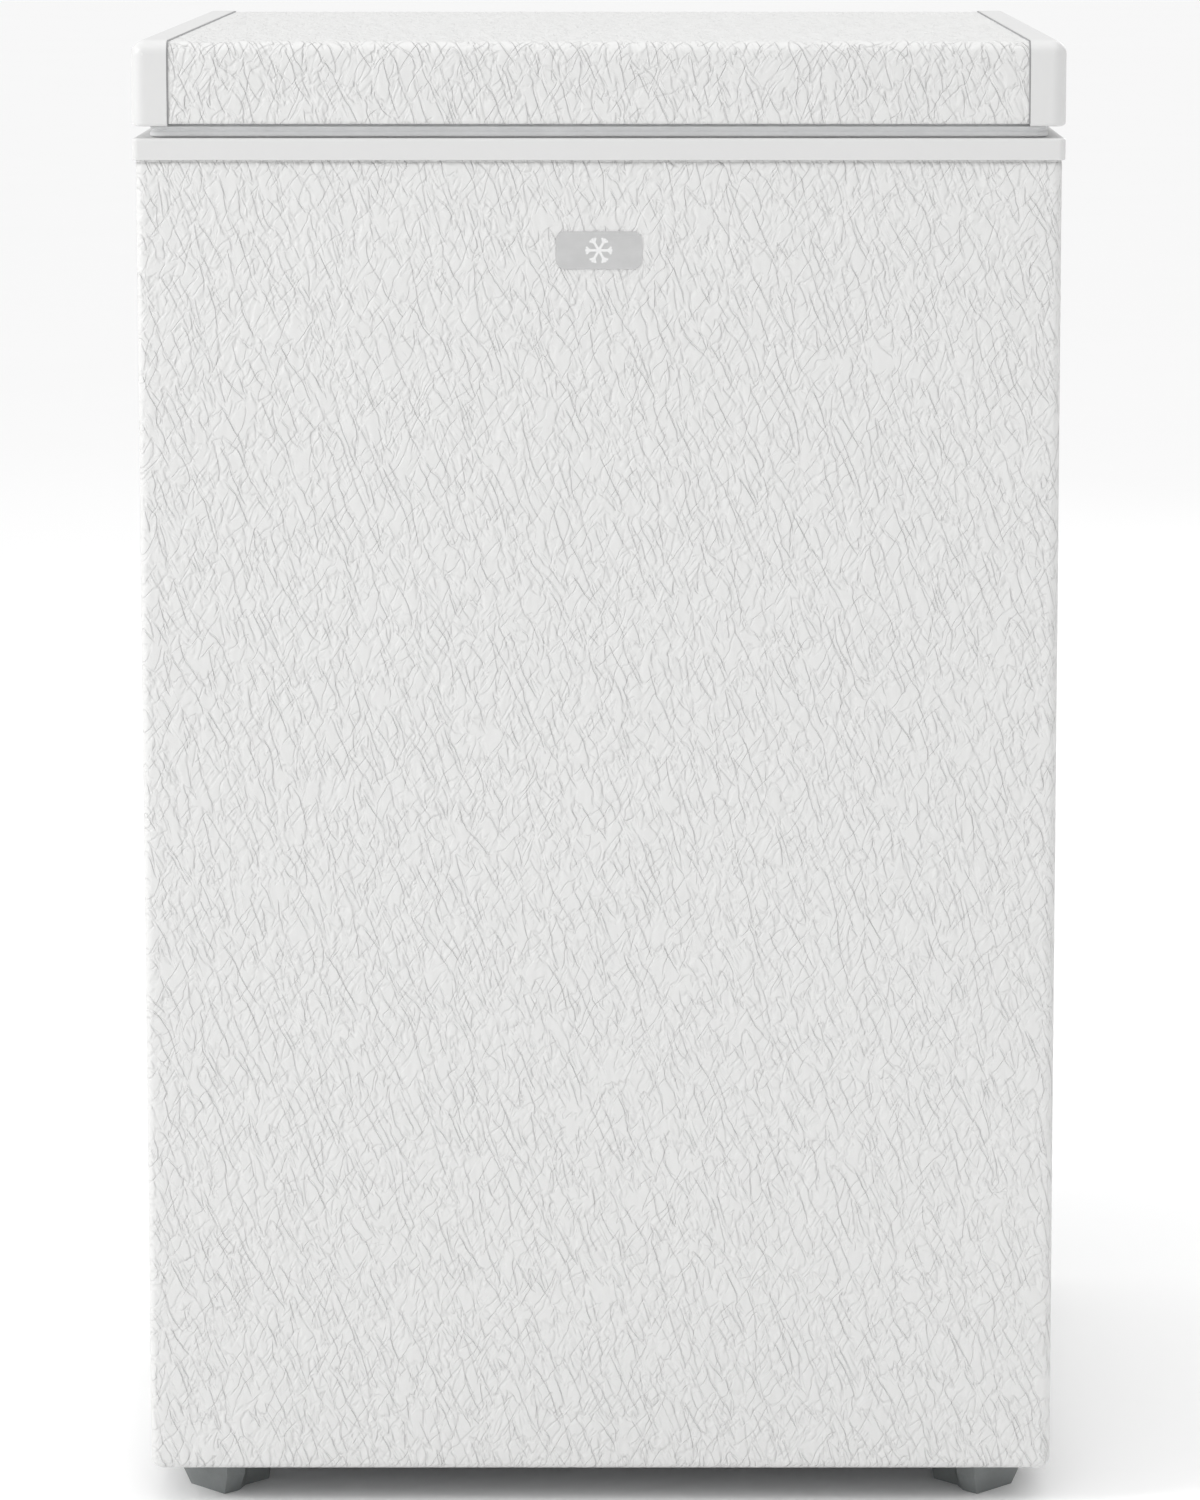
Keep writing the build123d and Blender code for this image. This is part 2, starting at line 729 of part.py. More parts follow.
# ---- lid: gasket ----
z_gasket = z_collar_top + gasket_lift
body = ring(gasket_inset, gasket_width, z_gasket, z_liner - touch, gasket_corner)
hollow = ring(
    gasket_inset + 2, gasket_width - 4, z_gasket + 2, z_liner - touch - 2.5, gasket_corner - 2
)
dart = ring(
    groove_inset + running, dart_width, z_liner - 1, z_liner + dart_height - running,
    gasket_corner - running,
)
with BuildPart() as lid_gasket:
    add(body)
    outer_feet = lid_gasket.faces().sort_by(Axis.Z)[0].outer_wire().edges()
    fillet(outer_feet, gasket_edge)
    add(hollow, mode=Mode.SUBTRACT)
    add(dart)
lid_gasket.part.label = "lid_gasket"
export_step(lid_gasket.part, "parts/lid_gasket.step")

# ---- lid: plates that take the leaves' screws, and foam ----
y_lid_inside = y_rear - cap_proud - sheet - touch
with BuildPart() as leaf_backing_plates:
    for _, s in sides:
        block(
            (s * hinge_place - leaf_half, y_lid_inside - plate_sheet, z_axis + leaf_low + 2),
            (s * hinge_place + leaf_half, y_lid_inside, z_axis + leaf_high - 2),
        )
    for x, z in leaf_screws_at:
        rod((x, y_lid_inside, z), screw_radius + running, 4 * plate_sheet, "y", mode=Mode.SUBTRACT)
leaf_backing_plates.part.label = "leaf_backing_plates"
export_step(leaf_backing_plates.part, "parts/leaf_backing_plates.step")

z_foam = z_liner_top + touch
end_foam = lid_block(cap_wall + touch, z_foam, half - cap_wall - touch)
middle_foam = panel_block(sheet + touch, z_foam, x_panel)
channel_space = ring(
    groove_inset - groove_wall - touch, groove_band + 2 * (groove_wall + touch), z_foam - 1,
    z_liner + dart_height + running + groove_wall + touch, gasket_corner,
)
with BuildPart() as lid_foam:
    add(end_foam)
    add(middle_foam)
    with BuildSketch(Plane.XY.offset(z_plug + lid_liner_wall + touch)):
        with Locations((0, y_mouth)):
            RectangleRounded(
                2 * (x_plug - lid_liner_wall - touch), plug_run - 2 * (lid_liner_wall + touch),
                plug_corner - lid_liner_wall - touch,
            )
    extrude(amount=z_foam - z_plug - lid_liner_wall)
    add(channel_space, mode=Mode.SUBTRACT)
    for _, s in sides:
        block(
            (s * hinge_place - leaf_half - touch, y_lid_inside - plate_sheet - touch,
             z_axis + leaf_low + 2 - touch),
            (s * hinge_place + leaf_half + touch, y_rear, z_axis + leaf_high - 2 + touch),
            mode=Mode.SUBTRACT,
        )
    for x, z in leaf_screws_at:
        rod(
            (x, y_rear - screw_length / 2, z), screw_radius + 2 * running, screw_length, "y",
            mode=Mode.SUBTRACT,
        )
lid_foam.part.label = "lid_foam"
export_step(lid_foam.part, "parts/lid_foam.step")

# ---- spring hinges ----
opening = math.radians(lid_opening)
z_bracket_low = z_axis - bracket_drop
z_web_top = z_collar - clear
y_ear_front = y_rear + 3 * clear
y_lid_rear = y_rear - cap_proud
z_plunger_top = z_axis - cam_height - clear
z_plunger_low = z_plunger_top - plunger_height
y_spring = y_axis + spring_offset
plunger_front = y_wrap_rear + touch + bracket_sheet + 2 * clear
plunger_rear = y_back - bracket_sheet - 2 * clear


def cam_point(angle):
    """Where the flat plunger touches the cam when the lid stands at that angle."""
    drop = cam_height - cam_rate * angle
    y = drop * math.sin(angle) - cam_rate * math.cos(angle)
    z = -drop * math.cos(angle) - cam_rate * math.sin(angle)
    return (y_axis + y, z_axis + z)


cam_face = [cam_point(opening * step / 6) for step in range(7)]
for side, s in sides:
    x_hinge = s * hinge_place
    with BuildPart() as hinge_bracket:
        block(
            (x_hinge - bracket_half, y_wrap_rear + touch, z_bracket_low),
            (x_hinge + bracket_half, y_wrap_rear + touch + bracket_sheet, z_web_top),
        )
        for t in (-1, 1):
            x_ear = x_hinge + t * (bracket_half - bracket_sheet / 2)
            with BuildSketch(Plane.YZ.offset(x_ear - bracket_sheet / 2)):
                with Locations(((y_wrap_rear + touch + y_back) / 2, (z_bracket_low + z_web_top) / 2)):
                    Rectangle(y_back - y_wrap_rear - touch, z_web_top - z_bracket_low)
                with Locations(((y_ear_front + y_back) / 2, (z_web_top + z_axis) / 2)):
                    Rectangle(y_back - y_ear_front, z_axis - z_web_top + 1)
                with Locations((y_axis, z_axis)):
                    Circle(ear_radius)
            extrude(amount=bracket_sheet)
            block(
                (x_ear, y_back - bracket_sheet, z_bracket_low),
                (x_ear - t * bracket_lip, y_back, z_axis - ear_radius - bracket_sheet),
            )
        block(
            (x_hinge - bracket_half, y_wrap_rear + touch, z_bracket_low),
            (x_hinge + bracket_half, y_back, z_bracket_low + bracket_sheet),
        )
        rod((x_hinge, y_axis, z_axis), pin_radius + running / 2, width / 4, "x", mode=Mode.SUBTRACT)
        for x, z in hinge_screws_at:
            rod((x, y_wrap_rear, z), screw_radius + 2 * running, width / 40, "y", mode=Mode.SUBTRACT)
    hinge_bracket.part.label = f"hinge_bracket_{side}"
    export_step(hinge_bracket.part, f"parts/hinge_bracket_{side}.step")

    with BuildPart() as hinge_pin:
        rod((x_hinge, y_axis, z_axis), pin_radius, 2 * (bracket_half + touch), "x")
        for t in (-1, 1):
            head_at = x_hinge + t * (bracket_half + touch + pin_head_height / 2)
            rod((head_at, y_axis, z_axis), pin_head, pin_head_height, "x")
        fillet(hinge_pin.faces().sort_by(Axis.X)[0].edges(), pin_head_height * 0.4)
        fillet(hinge_pin.faces().sort_by(Axis.X)[-1].edges(), pin_head_height * 0.4)
    hinge_pin.part.label = f"hinge_pin_{side}"
    export_step(hinge_pin.part, f"parts/hinge_pin_{side}.step")

    with BuildPart() as hinge_leaf:
        block(
            (x_hinge - leaf_half, y_lid_rear + touch, z_axis + leaf_low),
            (x_hinge + leaf_half, y_lid_rear + touch + bracket_sheet, z_axis + leaf_high),
        )
        fillet(hinge_leaf.edges().filter_by(Axis.Y).group_by(Axis.Z)[-1], 5)
        for t in (-1, 1):
            x_ear = x_hinge + t * (leaf_half - bracket_sheet / 2)
            with BuildSketch(Plane.YZ.offset(x_ear - bracket_sheet / 2)):
                with Locations((y_axis, z_axis)):
                    Circle(leaf_ear)
                with BuildLine():
                    Polyline(
                        (y_lid_rear + bracket_sheet, z_axis + leaf_high - 6),
                        (y_lid_rear + bracket_sheet, z_axis + leaf_low - 2),
                        (y_axis - leaf_ear * 0.75, z_axis - leaf_ear * 0.66),
                        (y_axis + leaf_ear * 0.94, z_axis + leaf_ear * 0.34),
                        close=True,
                    )
                make_face()
            extrude(amount=bracket_sheet)
        with BuildSketch(Plane.YZ.offset(x_hinge - leaf_half + bracket_sheet)):
            with BuildLine():
                Spline(*cam_face)
                Polyline(
                    cam_face[-1],
                    (y_axis + cam_disc * 0.9, z_axis - cam_disc * 0.2),
                    (y_axis, z_axis),
                    (y_axis - cam_rate - 3, z_axis - 2),
                    (y_axis - cam_rate - 3, z_axis - cam_height + 3),
                    cam_face[0],
                )
            make_face()
            with Locations((y_axis, z_axis)):
                Circle(cam_disc)
        extrude(amount=2 * (leaf_half - bracket_sheet))
        rod((x_hinge, y_axis, z_axis), pin_radius + running, width / 4, "x", mode=Mode.SUBTRACT)
        for x, z in leaf_screws_at:
            rod((x, y_rear, z), screw_radius + 2 * running, width / 40, "y", mode=Mode.SUBTRACT)
    hinge_leaf.part.label = f"hinge_leaf_{side}"
    export_step(hinge_leaf.part, f"parts/hinge_leaf_{side}.step")

    with BuildPart() as hinge_plunger:
        block(
            (x_hinge - plunger_half, plunger_front, z_plunger_low),
            (x_hinge + plunger_half, plunger_rear, z_plunger_top),
        )
        block(
            (x_hinge - bracket_half + bracket_sheet + clear, plunger_front, z_plunger_low),
            (x_hinge + bracket_half - bracket_sheet - clear, plunger_rear, z_plunger_low + plunger_flange),
        )
        with BuildSketch(Plane.XY.offset(z_plunger_low)):
            with Locations((x_hinge, y_spring)):
                Circle(spring_radius - spring_wire / 2 - clear)
        extrude(amount=-plunger_flange)
    hinge_plunger.part.label = f"hinge_plunger_{side}"
    export_step(hinge_plunger.part, f"parts/hinge_plunger_{side}.step")

    spring_low = z_bracket_low + bracket_sheet + spring_wire / 2 + touch
    spring_high = z_plunger_low - spring_wire / 2 - clear
    with BuildPart() as hinge_spring:
        with BuildLine() as coil_line:
            Helix(
                pitch=(spring_high - spring_low) / spring_turns, height=spring_high - spring_low,
                radius=spring_radius, center=(x_hinge, y_spring, spring_low),
            )
        with BuildSketch(Plane(origin=coil_line.line @ 0, z_dir=coil_line.line % 0)):
            Circle(spring_wire / 2)
        sweep(is_frenet=True)
    hinge_spring.part.label = f"hinge_spring_{side}"
    export_step(hinge_spring.part, f"parts/hinge_spring_{side}.step")

into_cabinet = (0, -1, 0)
web_face = y_wrap_rear + 2 * touch + bracket_sheet
hinge_screws = Compound(children=[
    pan_head_screw((x, web_face, z), into_cabinet, screw_radius, screw_head, screw_head_height, screw_length)
    for x, z in hinge_screws_at
])
hinge_screws.label = "hinge_screws"
export_step(hinge_screws, "parts/hinge_screws.step")

leaf_face = y_lid_rear + 2 * touch + bracket_sheet
leaf_screws = Compound(children=[
    pan_head_screw((x, leaf_face, z), into_cabinet, screw_radius, screw_head, screw_head_height, screw_length)
    for x, z in leaf_screws_at
])
leaf_screws.label = "leaf_screws"
export_step(leaf_screws, "parts/leaf_screws.step")

# ---- machine bay: tray across the base, behind the insulation ----
y_tray = y_bay + clear
y_tray_rear = y_wrap_rear - cover_sheet - 2 * touch
y_compressor = (y_tray + y_tray_rear) / 2
tray_screws_at = (-60, 60)
z_tray_screws = z_floor_sheet + tray_rim * 0.55
x_bolt = compressor_long - bolt_inset
y_bolt = compressor_short - bolt_inset_side
bolts_at = [
    (compressor_place + i * x_bolt, y_compressor + j * y_bolt) for i in (-1, 1) for j in (-1, 1)
]
with BuildPart() as compressor_tray:
    block((-x_floor, y_tray, z_floor_sheet), (x_floor, y_tray_rear, z_tray))
    block((-x_floor, y_tray, z_floor_sheet), (x_floor, y_tray + tray_sheet, z_floor_sheet + tray_rim))
    block(
        (-x_floor, y_tray_rear - tray_sheet, z_floor_sheet), (x_floor, y_tray_rear, z_floor_sheet + tray_rim)
    )
    for x, y in bolts_at:
        rod((x, y, z_tray), bolt_radius + touch, 4 * tray_sheet, "z", mode=Mode.SUBTRACT)
    for x, y in foot_screws_at[2:]:
        rod((x, y, z_tray), screw_radius + 1.0, 4 * tray_sheet, "z", mode=Mode.SUBTRACT)
    for x in tray_screws_at:
        rod((x, y_tray_rear, z_tray_screws), screw_radius + running, 4 * tray_sheet, "y", mode=Mode.SUBTRACT)
compressor_tray.part.label = "compressor_tray"
export_step(compressor_tray.part, "parts/compressor_tray.step")

z_plate = z_tray + grommet_height
z_shell = z_plate + shell_rise
z_joint = z_shell + lower_height
with BuildPart() as compressor_lower_shell:
    with BuildSketch(Plane.XY.offset(z_plate)):
        with Locations((compressor_place, y_compressor)):
            RectangleRounded(2 * compressor_long, 2 * compressor_short, plate_corner)
    extrude(amount=tray_sheet)
    with BuildSketch(Plane.XY.offset(z_plate)):
        with Locations((compressor_place, y_compressor)):
            Ellipse(compressor_long * 0.6, compressor_short * 0.6)
    extrude(amount=z_shell - z_plate)
    with BuildSketch(Plane.XY.offset(z_shell - 1)):
        with Locations((compressor_place, y_compressor)):
            Ellipse(compressor_long * shell_slim, compressor_short * shell_deep)
    extrude(amount=lower_height + 1)
    fillet(
        compressor_lower_shell.edges().filter_by(GeomType.ELLIPSE).filter_by_position(
            Axis.Z, z_shell - 1.1, z_shell - 0.9
        ).sort_by(SortBy.LENGTH)[-1], lower_bend,
    )
    with BuildSketch(Plane.XY.offset(z_shell + compressor_wall)):
        with Locations((compressor_place, y_compressor)):
            Ellipse(
                compressor_long * shell_slim - compressor_wall,
                compressor_short * shell_deep - compressor_wall
            )
    extrude(amount=lower_height, mode=Mode.SUBTRACT)
    for x, y in bolts_at:
        rod((x, y, z_plate), grommet_radius * 0.6 + touch, 4 * tray_sheet, "z", mode=Mode.SUBTRACT)
compressor_lower_shell.part.label = "compressor_lower_shell"
export_step(compressor_lower_shell.part, "parts/compressor_lower_shell.step")

with BuildPart() as compressor_upper_shell:
    with BuildSketch(Plane.XY.offset(z_joint + touch)):
        with Locations((compressor_place, y_compressor)):
            Ellipse(compressor_long * shell_deep, compressor_short)
    extrude(amount=shell_flange)
    with BuildSketch(Plane.XY.offset(z_joint + touch)):
        with Locations((compressor_place, y_compressor)):
            Ellipse(compressor_long * shell_slim, compressor_short * shell_deep)
    extrude(amount=upper_height)
    fillet(compressor_upper_shell.faces().sort_by(Axis.Z)[-1].edges(), upper_bend)
    with BuildSketch(Plane.XY.offset(z_joint)):
        with Locations((compressor_place, y_compressor)):
            Ellipse(
                compressor_long * shell_slim - compressor_wall,
                compressor_short * shell_deep - compressor_wall
            )
    extrude(amount=upper_height - upper_bend, mode=Mode.SUBTRACT)
compressor_upper_shell.part.label = "compressor_upper_shell"
export_step(compressor_upper_shell.part, "parts/compressor_upper_shell.step")

# the motor, which stands inside the two shells
with BuildPart() as compressor_motor:
    with BuildSketch(Plane.XY.offset(z_shell + compressor_wall + touch)):
        with Locations((compressor_place, y_compressor)):
            RectangleRounded(compressor_long, compressor_short * 1.15, motor_corner)
    extrude(amount=lower_height * 0.55)
    rod(
        (compressor_place, y_compressor, z_shell + lower_height * 0.7), compressor_short * 0.36,
        lower_height * 0.7, "z",
    )
    rod(
        (compressor_place, y_compressor, z_shell + lower_height), compressor_short * 0.16,
        lower_height * 0.6, "z",
    )
compressor_motor.part.label = "compressor_motor"
export_step(compressor_motor.part, "parts/compressor_motor.step")

grommets = []
bolts = []
for x, y in bolts_at:
    with BuildPart() as grommet:
        rod((x, y, z_tray + grommet_height / 2), grommet_radius, grommet_height - 2 * touch, "z")
        rod((x, y, z_plate + tray_sheet / 2), grommet_radius * 0.6, tray_sheet + 2, "z")
        rod((x, y, z_plate), bolt_radius + touch, 4 * grommet_height, "z", mode=Mode.SUBTRACT)
    grommets.append(grommet.part)
    top = z_plate + tray_sheet + 1 + touch
    bolts.append(
        pan_head_screw(
            (x, y, top), (0, 0, -1), bolt_radius, 2 * bolt_radius, bolt_head_height, top - z_base - touch
        )
    )
compressor_grommets = Compound(children=grommets)
compressor_grommets.label = "compressor_grommets"
export_step(compressor_grommets, "parts/compressor_grommets.step")
compressor_bolts = Compound(children=bolts)
compressor_bolts.label = "compressor_bolts"
export_step(compressor_bolts, "parts/compressor_bolts.step")

x_terminal = compressor_place - compressor_long * shell_deep - touch
with BuildPart() as terminal_cover:
    block(
        (x_terminal - terminal_deep, y_compressor - terminal_half, z_shell + terminal_rise),
        (x_terminal, y_compressor + terminal_half, z_joint - terminal_gap),
    )
    fillet(terminal_cover.edges().filter_by(Axis.X), terminal_corner)
    fillet(terminal_cover.faces().sort_by(Axis.X)[0].edges(), terminal_corner / 2)
    block(
        (
            x_terminal - terminal_deep + terminal_wall, y_compressor - terminal_half + terminal_wall,
            z_shell + terminal_rise + terminal_wall,
        ),
        (
            x_terminal + terminal_wall / 2, y_compressor + terminal_half - terminal_wall,
            z_joint - terminal_gap - terminal_wall,
        ),
        mode=Mode.SUBTRACT,
    )
terminal_cover.part.label = "terminal_cover"
export_step(terminal_cover.part, "parts/terminal_cover.step")

# ---- refrigerant pipes in the bay, and the dryer that they meet at ----
x_dryer = compressor_place - compressor_long - dryer_gap
y_dryer = y_bay + dryer_forward
z_dryer = z_base + bay_height * 0.55
with BuildPart() as dryer_filter:
    rod((x_dryer, y_dryer, z_dryer), dryer_radius, dryer_long, "z")
    fillet(dryer_filter.edges().filter_by(GeomType.CIRCLE), 4)
    rod((x_dryer, y_dryer, z_dryer), dryer_end, dryer_over_ends, "z")
dryer_filter.part.label = "dryer_filter"
export_step(dryer_filter.part, "parts/dryer_filter.step")

x_stub = compressor_place + compressor_long * shell_deep + 0.5
x_discharge = x_stub + 22
y_pipe = y_bay + pipe_forward
z_pipe = z_bay - 22
dryer_half = dryer_over_ends / 2 + 1
discharge_points = [
    (x_stub, y_compressor - 12, z_joint - 30), (x_discharge, y_compressor - 12, z_joint - 30),
    (x_discharge, y_pipe, z_joint - 30), (x_discharge, y_pipe, z_pipe),
    (x_dryer, y_pipe, z_pipe), (x_dryer, y_dryer, z_pipe - 8), (x_dryer, y_dryer, z_dryer + dryer_half),
]
discharge_tube = bent_tube(discharge_points, pipe_bend, condenser_radius, condenser_radius - tube_wall)
discharge_tube.label = "discharge_tube"
export_step(discharge_tube, "parts/discharge_tube.step")

x_suction = x_stub + 30
z_suction = z_bay - 12
suction_points = [
    (x_stub, y_compressor + 12, z_joint - 22), (x_suction, y_compressor + 12, z_joint - 22),
    (x_suction, y_compressor + 12, z_suction), (x_stub - 40, y_dryer, z_suction),
    (x_stub - 40, y_bay + touch, z_suction),
]
suction_tube = bent_tube(suction_points, suction_bend, suction_radius, suction_radius - tube_wall)
suction_tube.label = "suction_tube"
export_step(suction_tube, "parts/suction_tube.step")

x_capillary = x_dryer - capillary_side
z_capillary = z_dryer - dryer_half - 17
capillary_points = [
    (x_dryer, y_dryer, z_dryer - dryer_half), (x_dryer, y_dryer, z_capillary),
    (x_capillary, y_dryer, z_capillary), (x_capillary, y_dryer, z_dryer + 30),
    (x_capillary, y_bay + touch, z_dryer + 30),
]
capillary_tube = bent_tube(capillary_points, pipe_bend, capillary_radius)
capillary_tube.label = "capillary_tube"
export_step(capillary_tube, "parts/capillary_tube.step")

# ---- rear cover of the machine bay, louvred, with the control panel's window ----
z_cover_low = z_floor_sheet + touch
z_cover_high = z_bay - clear
x_cover = x_wrap - base_corner
y_cover = y_wrap_rear - cover_sheet
z_panel_middle = panel_level
x_knob = panel_place + knob_place
x_rocker = panel_place + rocker_place
window_wide = bezel_wide - 2 * window_margin
window_high = bezel_high - 2 * window_margin_high
gland_at = (panel_place + bezel_wide, y_wrap_rear, z_base + gland_level)
cover_screws_at = [
    (i * (x_cover - cover_screw_side), z)
    for i in (-1, 1) for z in (z_cover_low + cover_screw_low, z_cover_high - cover_screw_side)
] + [(x, z_tray_screws) for x in tray_screws_at]
x_bezel_screw = bezel_wide / 2 - bezel_screw_side
bezel_screws_at = [(panel_place + i * x_bezel_screw, z_panel_middle) for i in (-1, 1)]
with BuildPart() as machine_cover:
    block((-x_cover, y_cover, z_cover_low), (x_cover, y_wrap_rear, z_cover_high))
    fillet(machine_cover.edges().filter_by(Axis.Y), cover_corner)
    block(
        (-x_cover + cover_rim, y_cover - cover_rim, z_cover_high - cover_sheet),
        (x_cover - cover_rim, y_wrap_rear, z_cover_high),
    )
    block(
        (panel_place - window_wide / 2, y_cover - 1, z_panel_middle - window_high / 2),
        (panel_place + window_wide / 2, y_wrap_rear + 1, z_panel_middle + window_high / 2),
        mode=Mode.SUBTRACT,
    )
    for column in (compressor_place - louvre_long * 0.6, compressor_place + louvre_long * 0.6):
        for row in range(louvre_rows):
            level = z_base + louvre_low + row * louvre_pitch
            with BuildSketch(Plane.XZ.offset(-y_cover + 1)):
                with Locations((column, level)):
                    SlotOverall(louvre_long, louvre_high)
            extrude(amount=-cover_sheet - 2, mode=Mode.SUBTRACT)
            with BuildSketch(Plane.XZ.offset(-y_cover)):
                with Locations((column, level + louvre_high / 2 + hood_gap)):
                    Rectangle(louvre_long, cover_sheet)
            extrude(amount=hood_deep)
    for x, z in cover_screws_at + bezel_screws_at:
        rod((x, y_cover, z), screw_radius + 2 * running, 4 * cover_sheet, "y", mode=Mode.SUBTRACT)
    rod(gland_at, gland_radius + touch, 4 * cover_sheet, "y", mode=Mode.SUBTRACT)
machine_cover.part.label = "machine_cover"
export_step(machine_cover.part, "parts/machine_cover.step")

with BuildPart() as cord_gland:
    rod(
        (gland_at[0], y_wrap_rear + touch + gland_collar / 2, gland_at[2]), gland_radius + gland_collar,
        gland_collar, "y",
    )
    rod((gland_at[0], y_wrap_rear, gland_at[2]), gland_radius, 2 * cover_rim, "y")
    fillet(cord_gland.faces().sort_by(Axis.Y)[-1].edges(), gland_collar / 2)
    rod((gland_at[0], y_wrap_rear, gland_at[2]), gland_bore, 6 * cover_rim, "y", mode=Mode.SUBTRACT)
cord_gland.part.label = "cord_gland"
export_step(cord_gland.part, "parts/cord_gland.step")

# ---- control panel ----
y_bezel = y_wrap_rear + touch
rocker_lean = (rocker_set + rocker_tip) * math.sin(math.radians(rocker_swing))
rocker_room = rocker_high / 2 + rocker_lean + touch
z_lenses = [z_panel_middle + lens_pitch * i for i in (1, 0, -1)]
x_lens = panel_place + lens_place
y_rocker = y_bezel + bezel_plate - 1.0
with BuildPart() as control_bezel:
    with BuildSketch(Plane.XZ.offset(-y_bezel)):
        with Locations((panel_place, z_panel_middle)):
            RectangleRounded(bezel_wide, bezel_high, bezel_corner)
    extrude(amount=-bezel_plate)
    fillet(control_bezel.faces().sort_by(Axis.Y)[-1].edges(), bezel_edge)
    block(
        (x_rocker - rocker_wide / 2 - rocker_frame, y_bezel - 12, z_panel_middle - rocker_room - 2),
        (x_rocker + rocker_wide / 2 + rocker_frame, y_bezel, z_panel_middle + rocker_room + 2),
    )
    block(
        (x_rocker - rocker_wide / 2 - clear, y_bezel - 13, z_panel_middle - rocker_room),
        (x_rocker + rocker_wide / 2 + clear, y_bezel + 9, z_panel_middle + rocker_room),
        mode=Mode.SUBTRACT,
    )
    rod(
        (x_rocker, y_rocker - rocker_set, z_panel_middle), rocker_pivot + running, rocker_wide + 5, "x",
        mode=Mode.SUBTRACT,
    )
    rod((x_knob, y_bezel, z_panel_middle), shaft_radius + 1, 20, "y", mode=Mode.SUBTRACT)
    for z in z_lenses:
        rod((x_lens, y_bezel, z), lens_radius + touch, 20, "y", mode=Mode.SUBTRACT)
    for x, z in bezel_screws_at:
        rod((x, y_bezel, z), screw_radius + 2 * running, 20, "y", mode=Mode.SUBTRACT)
control_bezel.part.label = "control_bezel"
export_step(control_bezel.part, "parts/control_bezel.step")

with BuildPart() as thermostat_body:
    block(
        (x_knob - body_half, y_cover - body_deep, z_panel_middle - body_half_high),
        (x_knob + body_half, y_bezel - touch, z_panel_middle + body_half_high),
    )
    fillet(thermostat_body.edges().filter_by(Axis.Y), 3)
    rod((x_knob, y_bezel + 5, z_panel_middle), shaft_radius, 16, "y")
thermostat_body.part.label = "thermostat_body"
export_step(thermostat_body.part, "parts/thermostat_body.step")

y_knob = y_bezel + bezel_plate + clear
with BuildPart() as thermostat_knob:
    with BuildSketch(Plane.XZ.offset(-y_knob)):
        with Locations((x_knob, z_panel_middle)):
            Circle(knob_radius)
    extrude(amount=-knob_skirt)
    with BuildSketch(Plane.XZ.offset(-y_knob)):
        with Locations((x_knob, z_panel_middle)):
            Circle(knob_radius - knob_step)
            with PolarLocations(knob_radius - knob_step, knob_notches):
                Circle(notch_radius, mode=Mode.SUBTRACT)
    extrude(amount=-knob_height)
    fillet(thermostat_knob.faces().sort_by(Axis.Y)[-1].edges(), 0.5)
    block(
        (x_knob - 1, y_knob + knob_height - 1, z_panel_middle + 4),
        (x_knob + 1, y_knob + knob_height + 1, z_panel_middle + knob_radius - 3.5),
        mode=Mode.SUBTRACT,
    )
    with BuildSketch(Plane.XZ.offset(-y_knob)):
        with Locations((x_knob, z_panel_middle)):
            Circle(shaft_radius + running)
    extrude(amount=-knob_height + 2, mode=Mode.SUBTRACT)
thermostat_knob.part.label = "thermostat_knob"
export_step(thermostat_knob.part, "parts/thermostat_knob.step")

half_high = rocker_high / 2
rocker_outline = [
    (rocker_tip, half_high - 0.5), (2.6, 0), (rocker_tip, -half_high + 0.5), (-2, -half_high),
    (2 - rocker_deep, -half_high * 0.7), (2 - rocker_deep, half_high * 0.7), (-2, half_high),
]
with BuildPart() as fast_freeze_rocker:
    with BuildSketch(Plane.YZ.offset(x_rocker - rocker_wide / 2)):
        with BuildLine():
            Polyline(
                *[(y_rocker + y, z_panel_middle + z) for y, z in rocker_outline], close=True
            )
        make_face()
    extrude(amount=rocker_wide)
    rod((x_rocker, y_rocker - rocker_set, z_panel_middle), rocker_pivot, rocker_wide + 4, "x")
fast_freeze_rocker.part.label = "fast_freeze_rocker"
export_step(fast_freeze_rocker.part, "parts/fast_freeze_rocker.step")

for name, z in zip(("power_lens", "alarm_lens", "freeze_lens"), z_lenses):
    with BuildPart() as lens:
        rod((x_lens, y_bezel + bezel_plate / 2 - 2, z), lens_radius, bezel_plate + 6, "y")
        fillet(lens.faces().sort_by(Axis.Y)[-1].edges(), lens_radius * 0.5)
    lens.part.label = name
    export_step(lens.part, f"parts/{name}.step")

cover_screws = Compound(children=[
    pan_head_screw((x, y, z), into_cabinet, screw_radius, screw_head, 2.4, 11)
    for y, places in (
        (y_wrap_rear + touch, cover_screws_at), (y_bezel + bezel_plate + touch, bezel_screws_at)
    )
    for x, z in places
])
cover_screws.label = "cover_screws"
export_step(cover_screws, "parts/cover_screws.step")

# ---- drain ----
z_drain_low = z_base - drain_reach
with BuildPart() as drain_tube:
    with BuildSketch(Plane.XY.offset(z_drain_low)):
        with Locations((0, y_drain)):
            Circle(drain_bore + drain_wall)
            Circle(drain_bore, mode=Mode.SUBTRACT)
    extrude(amount=z_floor - z_drain_low)
drain_tube.part.label = "drain_tube"
export_step(drain_tube.part, "parts/drain_tube.step")

with BuildPart() as drain_plug:
    rod((0, y_drain, z_floor + touch + plug_head / 2), 2 * drain_bore, plug_head, "z")
    fillet(drain_plug.faces().sort_by(Axis.Z)[-1].edges(), 1.2)
    rod((0, y_drain, z_floor + 1 - plug_stem / 2), drain_bore - 2 * running, plug_stem, "z")
drain_plug.part.label = "drain_plug"
export_step(drain_plug.part, "parts/drain_plug.step")

